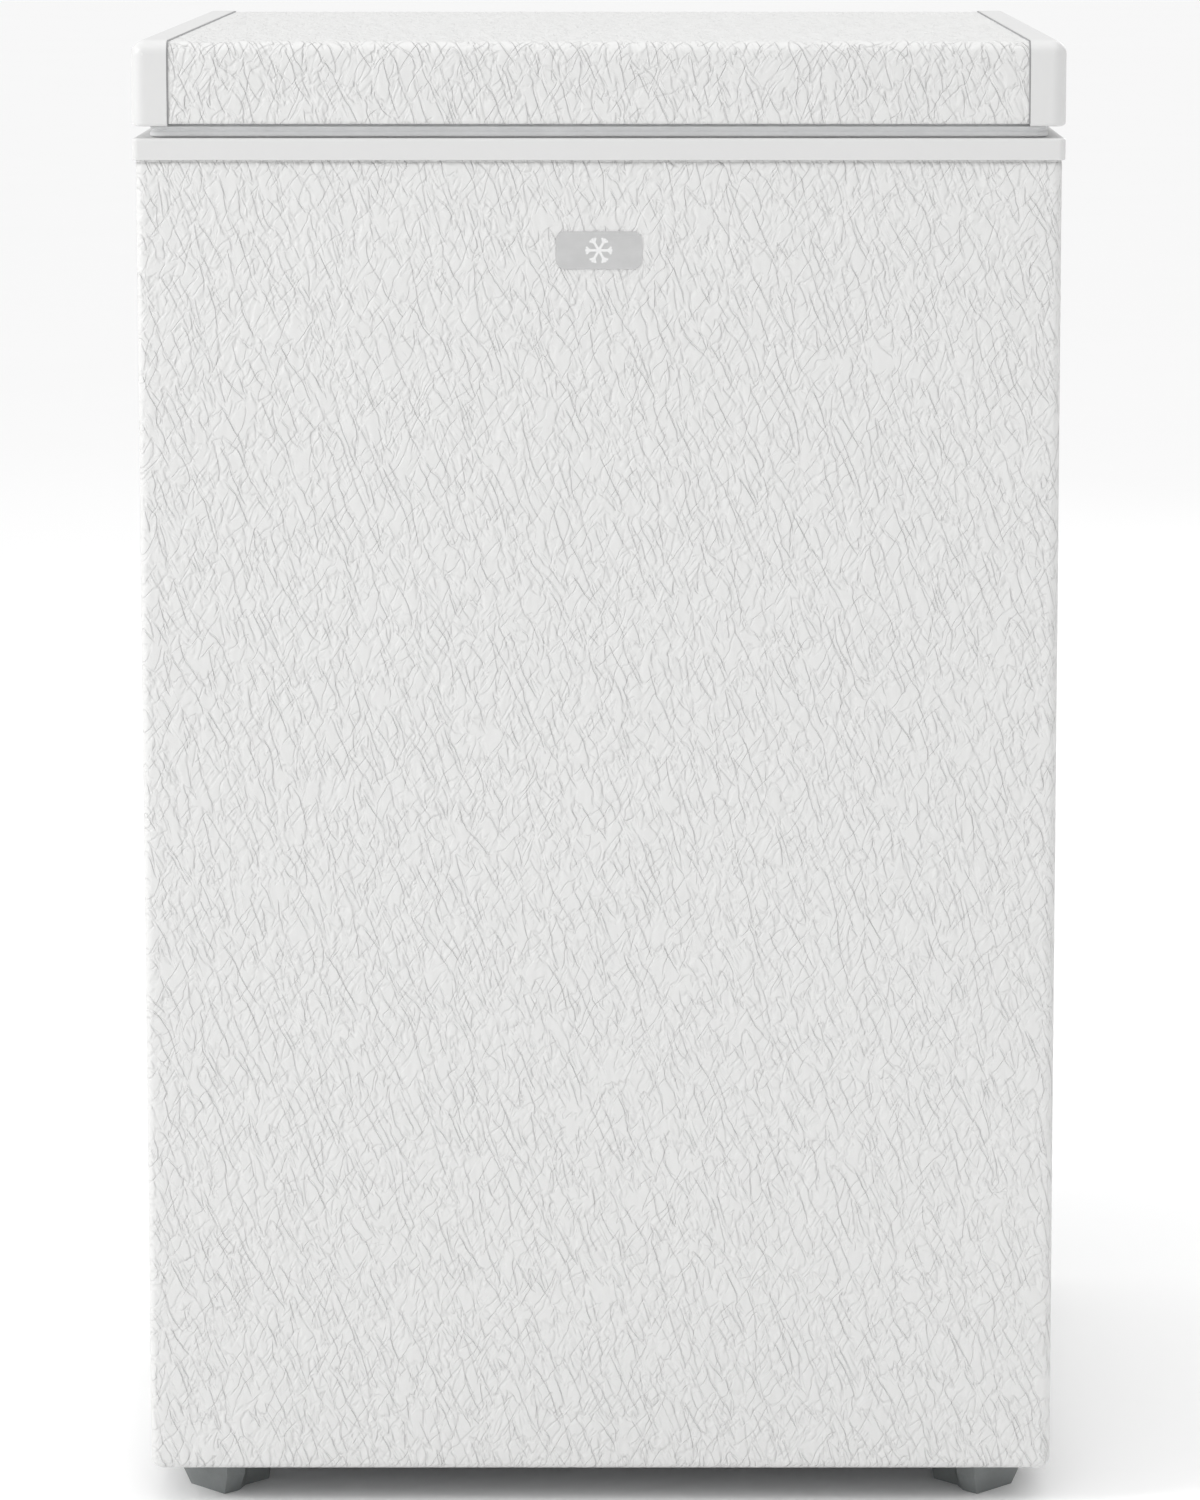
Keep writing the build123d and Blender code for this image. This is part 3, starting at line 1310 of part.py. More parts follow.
with BuildPart() as drain_cap:
    rod((0, y_drain, z_drain_low + 3), drain_bore + drain_wall + drain_cap_wall, drain_cap_high, "z")
    chamfer(drain_cap.edges().filter_by(GeomType.CIRCLE), 0.8)
    rod(
        (0, y_drain, z_drain_low + drain_cap_high), drain_bore + drain_wall + running,
        2 * drain_cap_high, "z", mode=Mode.SUBTRACT,
    )
drain_cap.part.label = "drain_cap"
export_step(drain_cap.part, "parts/drain_cap.step")


# ---- feet: a wide outer end that narrows to a neck, along the base's diagonal ----
def foot_outline(flare):
    """The foot's plan, wider by flare, with its outer end on the origin and +X inwards."""
    with BuildSketch() as outline:
        with BuildLine():
            Polyline(
                (-flare * 0.5, -foot_end - flare), (foot_head, -foot_end - flare),
                (foot_head + foot_taper, -foot_neck - flare * 0.5), (foot_long, -foot_neck - flare * 0.5),
                (foot_long, foot_neck + flare * 0.5), (foot_head + foot_taper, foot_neck + flare * 0.5),
                (foot_head, foot_end + flare), (-flare * 0.5, foot_end + flare), close=True,
            )
        make_face()
    return outline.sketch


for (name, s, t, x, y), (x_screw, y_screw) in zip(feet, foot_screws_at):
    inward = Plane(origin=(x, y, 0), x_dir=(-s, -t, 0), z_dir=(0, 0, 1))
    with BuildPart() as foot:
        with BuildSketch(inward):
            add(foot_outline(0))
        with BuildSketch(inward.offset(foot_shoulder)):
            add(foot_outline(foot_flare))
        loft()
        with BuildSketch(inward.offset(foot_shoulder)):
            add(foot_outline(foot_flare))
        extrude(amount=foot_height - foot_shoulder)
        rod((x_screw, y_screw, z_base), 8, 2 * (sheet + touch), "z")
        rod((x_screw, y_screw, 0), screw_head + 2, 2 * foot_shoulder, "z", mode=Mode.SUBTRACT)
        rod((x_screw, y_screw, z_base), screw_radius + touch, 2 * foot_height, "z", mode=Mode.SUBTRACT)
    foot.part.label = name
    export_step(foot.part, f"parts/{name}.step")

foot_screws = Compound(children=[
    pan_head_screw(
        (x, y, foot_shoulder - touch), (0, 0, 1), screw_radius, screw_head, screw_head_height,
        screw_length + sheet,
    )
    for x, y in foot_screws_at
])
foot_screws.label = "foot_screws"
export_step(foot_screws, "parts/foot_screws.step")

# ---- storage basket: coated wires on a stout rim, with two hooks at each end ----
x_basket = -x_cavity + basket_side + basket_long / 2
z_rim = z_collar_top - basket_drop
y_hook_front = y_mouth_front + plug_gap / 2
y_hook_rear = y_mouth_rear - plug_gap / 2
rim_half_x = basket_long / 2 - basket_rim / 2
y_rim_front = y_hook_front + basket_rim + touch
y_rim_rear = y_hook_rear - basket_rim - touch
wire_step = basket_wire + touch
z_wires = z_rim - basket_high
leg_top = z_rim - basket_rim / 2 - touch


def wire_loop(x_half, y_low, y_high, level, corner, thickness):
    """A closed rounded rectangle of wire, lying flat."""
    with BuildPart() as loop:
        with BuildLine() as route:
            FilletPolyline(
                (x_basket - x_half, y_low, level), (x_basket + x_half, y_low, level),
                (x_basket + x_half, y_high, level), (x_basket - x_half, y_high, level),
                radius=corner, close=True,
            )
        with BuildSketch(Plane(origin=route.line @ 0, z_dir=route.line % 0)):
            Circle(thickness / 2)
        sweep()
    return loop.part


wires = [
    wire_loop(rim_half_x, y_rim_front, y_rim_rear, z_rim, basket_bend, basket_rim),
    wire_loop(
        rim_half_x - wire_step, y_rim_front + wire_step, y_rim_rear - wire_step,
        z_rim - basket_high * 0.45, basket_bend - wire_step, basket_wire,
    ),
]
hoop_margin = basket_bend + basket_wire
hoop_gap = (y_rim_rear - y_rim_front - 2 * hoop_margin) / (basket_hoops - 1)
for hoop in range(basket_hoops):
    y = y_rim_front + hoop_margin + hoop * hoop_gap
    hoop_points = [
        (x_basket - rim_half_x, y, leg_top), (x_basket - rim_half_x, y, z_wires),
        (x_basket + rim_half_x, y, z_wires), (x_basket + rim_half_x, y, leg_top),
    ]
    wires.append(bent_tube(hoop_points, basket_bend, basket_wire / 2))
rib_gap = 2 * (rim_half_x - hoop_margin) / (basket_ribs - 1)
for rib in range(basket_ribs):
    x = x_basket - rim_half_x + hoop_margin + rib * rib_gap
    rib_points = [
        (x, y_rim_front, leg_top), (x, y_rim_front, z_wires + wire_step),
        (x, y_rim_rear, z_wires + wire_step), (x, y_rim_rear, leg_top),
    ]
    wires.append(bent_tube(rib_points, basket_bend, basket_wire / 2))
z_hook = z_collar_top + 0.2 + basket_rim / 2
for y_hook, outwards in ((y_hook_front, -1), (y_hook_rear, 1)):
    for i in (-1, 1):
        x = x_basket + i * hook_place
        hook_points = [
            (x, y_hook, z_rim - hook_tail), (x, y_hook, z_hook), (x, y_hook + outwards * hook_reach, z_hook),
        ]
        wires.append(bent_tube(hook_points, hook_bend, basket_rim / 2))
basket = Compound(children=wires)
basket.label = "basket"
export_step(basket, "parts/basket.step")
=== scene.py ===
import json
import math

import bpy
import numpy as np
from bpy.props import FloatProperty, FloatVectorProperty, IntProperty, PointerProperty
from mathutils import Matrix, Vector


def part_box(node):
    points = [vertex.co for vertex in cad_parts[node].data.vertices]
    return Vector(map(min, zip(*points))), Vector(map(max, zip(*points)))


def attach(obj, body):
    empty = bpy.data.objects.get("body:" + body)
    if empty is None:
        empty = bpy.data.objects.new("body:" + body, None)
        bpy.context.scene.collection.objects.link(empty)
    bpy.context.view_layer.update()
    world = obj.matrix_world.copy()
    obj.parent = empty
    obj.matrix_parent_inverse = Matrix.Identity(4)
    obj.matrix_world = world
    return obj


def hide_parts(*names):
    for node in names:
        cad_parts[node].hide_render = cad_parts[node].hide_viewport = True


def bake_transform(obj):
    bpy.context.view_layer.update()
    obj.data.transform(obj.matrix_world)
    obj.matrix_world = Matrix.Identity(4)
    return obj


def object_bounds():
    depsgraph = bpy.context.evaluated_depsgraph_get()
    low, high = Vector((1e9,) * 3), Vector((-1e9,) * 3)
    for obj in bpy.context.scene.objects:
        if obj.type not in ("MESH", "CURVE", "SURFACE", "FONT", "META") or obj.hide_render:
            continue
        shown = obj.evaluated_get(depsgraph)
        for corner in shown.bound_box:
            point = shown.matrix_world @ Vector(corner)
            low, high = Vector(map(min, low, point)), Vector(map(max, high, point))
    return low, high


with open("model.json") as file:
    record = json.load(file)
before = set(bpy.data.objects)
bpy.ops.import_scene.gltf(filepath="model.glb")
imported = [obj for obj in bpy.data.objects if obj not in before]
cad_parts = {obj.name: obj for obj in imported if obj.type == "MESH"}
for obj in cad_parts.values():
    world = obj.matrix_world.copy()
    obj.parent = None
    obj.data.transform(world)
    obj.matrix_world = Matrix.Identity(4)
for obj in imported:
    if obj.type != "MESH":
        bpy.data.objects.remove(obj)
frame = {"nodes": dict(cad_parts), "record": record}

bl_info = {
    "name": "Chest Freezer Finishes",
    "version": (1, 0, 0),
    "blender": (4, 5, 0),
    "location": "3D View > Sidebar > Freezer",
    "description": "Embossed sheet, seals, springs and finishes for a small chest freezer",
    "category": "Object",
}

MM = 0.001


def corners(node):
    """Lowest and highest corner of a CAD node, as arrays in metres."""
    low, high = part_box(node)
    return np.array(low), np.array(high)


CAD_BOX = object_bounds()
WRAP_LOW, WRAP_HIGH = corners("outer_wrap")
PANEL_LOW, PANEL_HIGH = corners("lid_panel")
CAP_EDGE = corners("lid_cap_right")[0][0]
COLLAR_LOW = corners("collar")[0][2]

# ---- fits between the skins and the pieces they lie on ----
SKIN_LIFT = 0.03 * MM  # a skin stands this far off its sheet
COLLAR_TUCK = 6 * MM  # the skins run on behind the collar
REAR_GAP = 1.2 * MM  # the side skins stop short of the rear panel
HIGHEST_CREASE = 0.5 * MM
FRONT_SEED, SIDE_SEED, LID_SEED = 11, 31, 57

# ---- shaded creases, finer than the relief ----
CREASES_PER_METRE = 120.0
WRAP_CREASE_DEPTH, LID_CREASE_DEPTH = 1.0 * MM, 1.1 * MM

# ---- where the camera stands, and its lens ----
LENS_WIDTH, FOCAL_LENGTH = 36.0, 132.9504  # in millimetres
CAMERA_ASIDE, CAMERA_ABOVE = 0.0327, 0.1204  # in metres, from the middle and from the lid's top
CAMERA_SHIFT = (-0.0369, -0.12)


# ---- sizes and colours that a user may change ----
def length(name, description, default, **more):
    return FloatProperty(name=name, description=description, default=default, unit="LENGTH", min=0.0,
                         precision=5, **more)


def colour(name, description, default):
    return FloatVectorProperty(name=name, description=description, default=default, subtype="COLOR",
                               size=3, min=0.0, max=1.0)


class FREEZER_PG_sheet(bpy.types.PropertyGroup):
    crease_depth: length("Crease depth", "Height of the embossed creases on the outer sheet", 0.00024)
    crease_wide: length("Crease width", "From one embossed crease to the next", 0.0062)
    crease_long: length("Crease length", "How far one crease runs", 0.016)
    crease_lean: FloatProperty(name="Crease lean", description="Creases lean this far from upright",
                               default=math.radians(20), subtype="ANGLE")
    front_corner: length("Front corner", "Bend between the front and the sides", 0.004)
    base_corner: length("Base corner", "Bend at the lower edge of the sides", 0.007)
    lid_corner: length("Lid corner", "Bend along the lid's front and rear edges", 0.007)
    thickness: length("Sheet", "Thickness of the painted sheet", 0.00055)
    steel_colour: colour("Painted sheet", "White paint on the embossed sheet", (0.72, 0.72, 0.714))


class FREEZER_PG_trim(bpy.types.PropertyGroup):
    bead_radius: length("Bead radius", "Grey sealing bead between an end cap and the lid's sheet", 0.00055)
    gasket_corner: length("Gasket corner", "Outer corner of the lid's gasket", 0.008)
    spring_turns: FloatProperty(name="Spring turns", description="Turns of each hinge spring", default=9.5)
    wire_radius: length("Spring wire", "Radius of the spring's wire", 0.0015)
    dial_marks: IntProperty(name="Dial marks", description="Raised marks round the thermostat's knob",
                            default=11, min=2)
    plastic_colour: colour("White plastic", "End caps and collar", (0.685, 0.685, 0.682))
    gasket_colour: colour("Gasket", "Soft pale gasket", (0.95, 0.955, 0.96))
    # the bead's dark grey is painted shade: it stands for the shadow line at the step between an end cap and
    # the lid's sheet
    shadow_bead_colour: colour("Bead", "Grey sealing bead", (0.33, 0.33, 0.335))


class FREEZER_PG_stage(bpy.types.PropertyGroup):
    distance: length("Distance", "From the camera to the front of the freezer", 3.2)
    pitch: FloatProperty(name="Pitch", description="The camera looks this far down",
                         default=math.radians(7.615), subtype="ANGLE")
    key_power: FloatProperty(name="Key light", description="Power of the large light on the left",
                             default=42.0, unit="POWER")
    fill_power: FloatProperty(name="Fill light", description="Power of the soft light overhead",
                              default=9.0, unit="POWER")
    sky: FloatProperty(name="Surroundings", description="Brightness of the white room", default=0.91)
    floor_radius: length("Floor", "Radius of the pale floor", 60.0)
    floor_colour: colour("Floor colour", "Pale floor", (0.95, 0.95, 0.95))


# ---- surfaces worked out on a grid ----
def smooth(low, high, value):
    """0 below low, 1 above high, and 3t2 - 2t3 between them."""
    t = np.clip((value - low) / (high - low), 0.0, 1.0)
    return t * t * (3 - 2 * t)


def crease_field(shape, cell, wide, long, lean, seed):
    """Seeded white noise, filtered to the waves that run across the creases.

    A wave passes by exp(-((|a| - 1/wide) wide / 0.42)^2) exp(-(b long)^2), where a and b are its
    counts per metre across and along the creases. The result is scaled to a deviation of 1.
    """
    noise = np.random.default_rng(seed).standard_normal(shape)
    first = np.fft.fftfreq(shape[0], cell[0])[:, None]
    second = np.fft.fftfreq(shape[1], cell[1])[None, :]
    across = first * math.cos(lean) + second * math.sin(lean)
    along = second * math.cos(lean) - first * math.sin(lean)
    passed = np.exp(-(((np.abs(across) - 1 / wide) * wide / 0.42) ** 2)) * np.exp(-((along * long) ** 2))
    field = np.real(np.fft.ifft2(np.fft.fft2(noise) * passed))
    return field / field.std()


def embossing(shape, cell, sheet, seed):
    """Relief of the sheet: long creases that lean one way, shorter ones that cross them, and a soft swell.

    Each layer is flattened by tanh, so that creases have steep sides and flat tops.
    """
    main = crease_field(shape, cell, sheet.crease_wide, sheet.crease_long, sheet.crease_lean, seed)
    cross = crease_field(shape, cell, sheet.crease_wide * 0.85, sheet.crease_long * 0.6,
                         -1.5 * sheet.crease_lean, seed + 1)
    swell = crease_field(shape, cell, sheet.crease_wide * 8, sheet.crease_long * 2, 0.0, seed + 2)
    patches = 0.75 + 0.25 * np.tanh(swell)
    relief = patches * np.tanh(1.2 * main) + 0.55 * np.tanh(1.2 * cross) + 0.25 * swell
    return np.clip(sheet.crease_depth * (relief + 1.6), 0, HIGHEST_CREASE)


def new_piece(name, points, faces, body, material, flat=()):
    """A mesh object from one array of points and lists of faces, smooth except for the flat ones."""
    mesh = bpy.data.meshes.new(name)
    mesh.from_pydata(points.reshape(-1, 3), [], faces)
    mesh.validate()
    rounded = np.ones(len(mesh.polygons), dtype=bool)
    if len(flat):
        rounded[np.asarray(flat)] = False
    mesh.polygons.foreach_set("use_smooth", rounded)
    mesh.update()
    piece = bpy.data.objects.new(name, mesh)
    bpy.context.scene.collection.objects.link(piece)
    piece.data.materials.append(material)
    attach(piece, body)
    return piece


def grid_faces(rows, columns, close_rows=False, close_columns=False, turn=False, start=0):
    """Quads of a grid of rows by columns, numbered row by row, as an array of four corners each."""
    i = np.arange(rows if close_rows else rows - 1)[:, None]
    j = np.arange(columns if close_columns else columns - 1)[None, :]
    i2, j2 = (i + 1) % rows, (j + 1) % columns
    quads = np.stack(np.broadcast_arrays(i * columns + j, i2 * columns + j, i2 * columns + j2,
                                         i * columns + j2), axis=-1).reshape(-1, 4) + start
    return quads[:, ::-1] if turn else quads


def slab(name, outer, inward, depth, body, material, turn=False):
    """A closed piece: a fine outer grid, a back that is one flat face, and a strip of quads between.

    The back is the rim carried along the axis inward (a unit vector) until its coordinate is depth.
    """
    rows, columns = outer.shape[:2]
    points = outer.reshape(-1, 3)
    index = np.arange(rows * columns).reshape(rows, columns)
    rim = np.concatenate([index[0, :-1], index[:-1, -1], index[-1, :0:-1], index[:0:-1, 0]])
    back = points[rim] * (1 - np.abs(inward)) + np.abs(inward) * depth
    quads = grid_faces(rows, columns, turn=turn)
    first = len(points)
    ahead = np.roll(np.arange(len(rim)), -1)
    strip = np.stack([rim, rim[ahead], first + ahead, first + np.arange(len(rim))], axis=-1)
    strip = strip[:, ::-1] if not turn else strip
    back_face = first + np.arange(len(rim))
    back_face = back_face if turn else back_face[::-1]
    faces = quads.tolist() + strip.tolist() + [back_face.tolist()]
    flat = range(len(quads), len(faces))
    return new_piece(name, np.concatenate([points, back]), faces, body, material, flat)


def tube(name, path, across, up, radius, sides, body, material):
    """A round bar along a path: path + radius (across cos a + up sin a), with a flat face on each end."""
    turn = np.linspace(0, 2 * np.pi, sides, endpoint=False)[None, :, None]
    points = path[:, None] + radius * (across[:, None] * np.cos(turn) + up[:, None] * np.sin(turn))
    rows = len(path)
    faces = grid_faces(rows, sides, close_columns=True).tolist()
    ends = [list(range(sides))[::-1], list(range((rows - 1) * sides, rows * sides))]
    return new_piece(name, points, faces + ends, body, material, [len(faces), len(faces) + 1])


def mend_normals(piece):
    """Turns every face outwards."""
    import bmesh
    made = bmesh.new()
    made.from_mesh(piece.data)
    bmesh.ops.recalc_face_normals(made, faces=made.faces)
    made.to_mesh(piece.data)
    made.free()
    return piece


def front_surface(sheet):
    """The embossed front: x and z on a grid, y set back near the edges by the bend's quarter circle.

    The outline is a rectangle with rounded lower corners. A point beyond it is brought back along the
    outline's normal, and a point nearer to it than the bend's radius r drops by r - sqrt(r2 - (r - d)2).
    """
    half = WRAP_HIGH[0]
    low, high = WRAP_LOW[2], COLLAR_LOW + COLLAR_TUCK
    columns, rows = 372, 246
    x = np.linspace(-half, half, columns)
    edge = np.array([0.0, 0.25, 0.7, 1.3, 2.1, 3.1, 4.2]) * MM
    x[:7], x[-7:] = -half + edge, (half - edge)[::-1]
    x[7:-7] = np.linspace(x[6], x[-7], columns - 12)[1:-1]
    z = np.linspace(low, high, rows)
    z[:7] = low + edge
    z[7:] = np.linspace(z[6], high, rows - 6)[1:]
    gx, gz = (a.copy() for a in np.meshgrid(x, z, indexing="ij"))
    corner, bend, margin = sheet.base_corner, sheet.front_corner, 0.05 * MM
    qx, qz = np.abs(gx) - (half - corner), (low + corner) - gz
    round_zone = (qx > 0) & (qz > 0)
    reach = np.maximum(np.hypot(qx, qz), 1e-9)
    distance = corner - np.where(round_zone, reach, np.maximum(qx, qz))
    beyond = np.clip(margin - distance, 0, None)
    gx -= np.sign(gx) * np.where(round_zone, qx / reach, (qx >= qz)) * beyond
    gz += np.where(round_zone, qz / reach, (qz > qx)) * beyond
    distance = np.maximum(distance, margin)
    drop = bend - np.sqrt(np.maximum(bend**2 - np.clip(bend - distance, 0, bend) ** 2, 0))
    relief = embossing(gx.shape, (2 * half / columns, (high - low) / rows), sheet, FRONT_SEED)
    relief *= smooth(0.3 * MM, 6 * MM, distance)
    badge_low, badge_high = corners("badge")
    middle, size = (badge_low + badge_high) / 2, (badge_high - badge_low) / 2
    away = np.maximum(np.abs(gx - middle[0]) - size[0], np.abs(gz - middle[2]) - size[2])
    relief *= smooth(-1.5 * MM, 0.5 * MM, away)
    gy = WRAP_LOW[1] + drop - relief - SKIN_LIFT
    return np.stack([gx, gy, gz], axis=-1)


def side_surface(sheet, side):
    """An embossed side: y and z on a grid, x curved in by the base bend at the lower edge."""
    low, high = WRAP_LOW[2], COLLAR_LOW + COLLAR_TUCK
    front, rear = WRAP_LOW[1] + sheet.front_corner * 0.92, WRAP_HIGH[1] - REAR_GAP
    rows, columns = 262, 182
    y = np.linspace(front, rear, rows)
    z = np.linspace(low, high, columns)
    edge = np.array([0.1, 0.5, 1.2, 2.4, 3.9, 5.5, 7.2]) * MM
    z[:7] = low + edge
    z[7:] = np.linspace(z[6], high, columns - 6)[1:]
    gy, gz = np.meshgrid(y, z, indexing="ij")
    bend = sheet.base_corner
    below = np.clip(low + bend - gz, 0, bend)
    drop = bend - np.sqrt(np.maximum(bend**2 - below**2, 0))
    relief = embossing(gy.shape, ((rear - front) / rows, (high - low) / columns), sheet,
                       SIDE_SEED + side)
    relief *= smooth(0, 5 * MM, np.minimum.reduce([gy - front, rear - gy, gz - low]))
    gx = side * (WRAP_HIGH[0] - drop + relief + SKIN_LIFT)
    return np.stack([gx, gy, gz], axis=-1)


def lid_line(sheet, stations):
    """The lid's section as y, z and outward normal: up the front, a quarter circle, back, and down.

    The places are spaced evenly by length, and each quarter circle has ten of its own.
    """
    r = sheet.lid_corner
    front, rear, top, low = PANEL_LOW[1], PANEL_HIGH[1], PANEL_HIGH[2], PANEL_LOW[2]
    rise, run = top - r - low, rear - front - 2 * r
    ups = max(4, int(round(stations * rise / (2 * rise + run))))
    across = stations - 2 * ups
    up = np.linspace(0, 1, ups, endpoint=False)
    bend = np.linspace(0, 1, 10, endpoint=False) * np.pi / 2
    flat = np.linspace(0, 1, across, endpoint=False)
    one, nil = np.ones, np.zeros
    y = np.concatenate([front * one(ups), front + r - r * np.cos(bend), front + r + run * flat,
                        rear - r + r * np.sin(bend), rear * one(ups + 1)])
    z = np.concatenate([low + rise * up, top - r + r * np.sin(bend), top * one(across),
                        top - r + r * np.cos(bend), top - r - rise * np.append(up, 1.0)])
    ny = np.concatenate([-one(ups), -np.cos(bend), nil(across), np.sin(bend), one(ups + 1)])
    nz = np.concatenate([nil(ups), np.sin(bend), one(across), np.cos(bend), nil(ups + 1)])
    return np.stack([y, z, ny, nz])


def build_lid_skin(sheet, material):
    """The lid's embossed sheet: the section's line carried across x, with relief along its normal.

    The rounded edges stay smooth, and so do the strips under the end caps. Inside, the same line runs
    back with a few places only, one sheet's thickness in, and a flat face closes each end.
    """
    y, z, ny, nz = lid_line(sheet, 282)
    columns = 300
    half = PANEL_HIGH[0]
    x = np.linspace(-half, half, columns)
    travel = np.concatenate([[0], np.cumsum(np.hypot(np.diff(y), np.diff(z)))])
    even = embossing((columns, len(y)), (2 * half / columns, travel[-1] / len(y)), sheet, LID_SEED).T
    round_part = (np.abs(ny) > 1e-6) & (np.abs(nz) > 1e-6)
    to_bend = np.abs(travel[:, None] - travel[round_part][None, :]).min(axis=1)
    relief = even * smooth(0.0, 4 * MM, to_bend)[:, None]
    relief *= smooth(0, 2.5 * MM, travel)[:, None] * smooth(0, 2.5 * MM, travel[-1] - travel)[:, None]
    relief *= smooth(0, 1.5 * MM, CAP_EDGE - np.abs(x))[None, :]
    relief += SKIN_LIFT
    outer = np.stack([np.broadcast_to(x, relief.shape), y[:, None] + ny[:, None] * relief,
                      z[:, None] + nz[:, None] * relief], axis=-1)
    few = np.unique(np.concatenate([[0], np.flatnonzero(round_part)[::3],
                                    np.flatnonzero(np.diff(round_part.astype(int))), [len(y) - 1]]))[::-1]
    t = sheet.thickness
    inner = np.stack([np.broadcast_to(x, (len(few), columns)),
                      np.broadcast_to((y - ny * t)[few][:, None], (len(few), columns)),
                      np.broadcast_to((z - nz * t)[few][:, None], (len(few), columns))], axis=-1)
    points = np.concatenate([outer, inner])
    rows = len(points)
    quads = grid_faces(rows, columns, close_rows=True).tolist()
    left = [r * columns for r in range(rows)]
    right = [r * columns + columns - 1 for r in range(rows)][::-1]
    piece = new_piece("lid_embossed_sheet", points, quads + [left, right], "lid", material,
                      [len(quads), len(quads) + 1])
    return mend_normals(piece)


def ring_surface(low, high, radius, profile):
    """A profile of (inset, level) carried round a rounded rectangle.

    A place at inset o is at the corner's centre, moved out by the normal times max(radius - o, a little),
    so that the outline stays parallel at every inset. Straight runs have four places, corners eight.
    """
    o, level = profile[:, 0], profile[:, 1]
    keep = np.maximum(radius - o, 0.6 * MM)
    shift = keep - (radius - o)
    centres = np.array([[1, -1], [1, 1], [-1, 1], [-1, -1]])
    rows = []
    for k, sign in enumerate(centres):
        ahead = centres[(k + 1) % 4]
        where = np.where(sign > 0, high[:2], low[:2]) - sign * radius
        after = np.where(ahead > 0, high[:2], low[:2]) - ahead * radius
        start = -np.pi / 2 + k * np.pi / 2
        for angle in np.linspace(start, start + np.pi / 2, 8):
            normal = np.array([math.cos(angle), math.sin(angle)])
            rows.append(where - sign * shift[:, None] + normal * keep[:, None])
        for share in (0.02, 0.35, 0.65, 0.98):
            here = where - sign * shift[:, None]
            there = after - ahead * shift[:, None]
            rows.append(here + (there - here) * share + normal * keep[:, None])
    plan = np.stack(rows)
    return np.concatenate([plan, np.broadcast_to(level, plan.shape[:2])[..., None]], axis=-1)


def rounded_profile(points, times):
    """A closed outline with its corners cut twice over: each side keeps its middle half."""
    for _ in range(times):
        after = np.roll(points, -1, axis=0)
        points = np.stack([0.75 * points + 0.25 * after, 0.25 * points + 0.75 * after], axis=1).reshape(-1, 2)
    return points


# ---- shader groups: effects that several finishes share ----
class Nodes:
    """Short words for adding and joining nodes in one tree."""

    def __init__(self, tree):
        self.tree = tree

    def add(self, kind, **settings):
        node = self.tree.nodes.new(kind)
        for key, value in settings.items():
            setattr(node, key, value)
        return node

    def join(self, source, target):
        self.tree.links.new(source, target)

    def math(self, operation, one, two=0.0, clamp=False):
        node = self.add("ShaderNodeMath", operation=operation, use_clamp=clamp)
        for socket, value in zip(node.inputs, (one, two)):
            if isinstance(value, (int, float)):
                socket.default_value = value
            else:
                self.join(value, socket)
        return node.outputs[0]

    def noise(self, vector, scale, detail=2.0, roughness=0.5):
        node = self.add("ShaderNodeTexNoise")
        node.inputs["Detail"].default_value = detail
        node.inputs["Roughness"].default_value = roughness
        self.join(vector, node.inputs["Vector"])
        if isinstance(scale, (int, float)):
            node.inputs["Scale"].default_value = scale
        else:
            self.join(scale, node.inputs["Scale"])
        return node.outputs["Fac"]


def new_group(name, inputs, outputs):
    """An empty shader group with named sockets: inputs are (name, kind, default)."""
    tree = bpy.data.node_groups.new(name, "ShaderNodeTree")
    for label, kind, default in inputs:
        socket = tree.interface.new_socket(label, in_out="INPUT", socket_type="NodeSocket" + kind)
        if default is not None:
            socket.default_value = default
    for label, kind in outputs:
        tree.interface.new_socket(label, in_out="OUTPUT", socket_type="NodeSocket" + kind)
    nodes = Nodes(tree)
    return tree, nodes, nodes.add("NodeGroupInput").outputs, nodes.add("NodeGroupOutput").inputs


def group_tone_drift():
    """Two close tones in soft patches. Mask is 0 to 1, and is also used to vary the gloss."""
    tree, n, i, o = new_group("tone_drift", [
        ("Vector", "Vector", None), ("Tone", "Color", (0.8, 0.8, 0.8, 1)),
        ("Other Tone", "Color", (0.7, 0.7, 0.7, 1)), ("Patches per Metre", "Float", 20.0),
    ], [("Color", "Color"), ("Mask", "Float")])
    broad = n.noise(i["Vector"], i["Patches per Metre"], 4.0, 0.55)
    fine = n.noise(i["Vector"], n.math("MULTIPLY", i["Patches per Metre"], 9.0), 3.0, 0.6)
    both = n.math("ADD", n.math("MULTIPLY", broad, 0.7), n.math("MULTIPLY", fine, 0.3))
    spread = n.add("ShaderNodeMapRange")
    spread.inputs["From Min"].default_value, spread.inputs["From Max"].default_value = 0.32, 0.68
    n.join(both, spread.inputs["Value"])
    mix = n.add("ShaderNodeMix", data_type="RGBA")
    n.join(spread.outputs[0], mix.inputs["Factor"])
    n.join(i["Tone"], mix.inputs[6])
    n.join(i["Other Tone"], mix.inputs[7])
    n.join(mix.outputs[2], o["Color"])
    n.join(spread.outputs[0], o["Mask"])
    return tree


def group_mould_grain():
    """Fine pebbled grain, as on moulded plastic and on painted metal."""
    tree, n, i, o = new_group("mould_grain", [
        ("Vector", "Vector", None), ("Grains per Metre", "Float", 1200.0),
    ], [("Height", "Float")])
    cells = n.add("ShaderNodeTexVoronoi", feature="F1")
    n.join(i["Vector"], cells.inputs["Vector"])
    n.join(i["Grains per Metre"], cells.inputs["Scale"])
    n.join(cells.outputs["Distance"], o["Height"])
    return tree


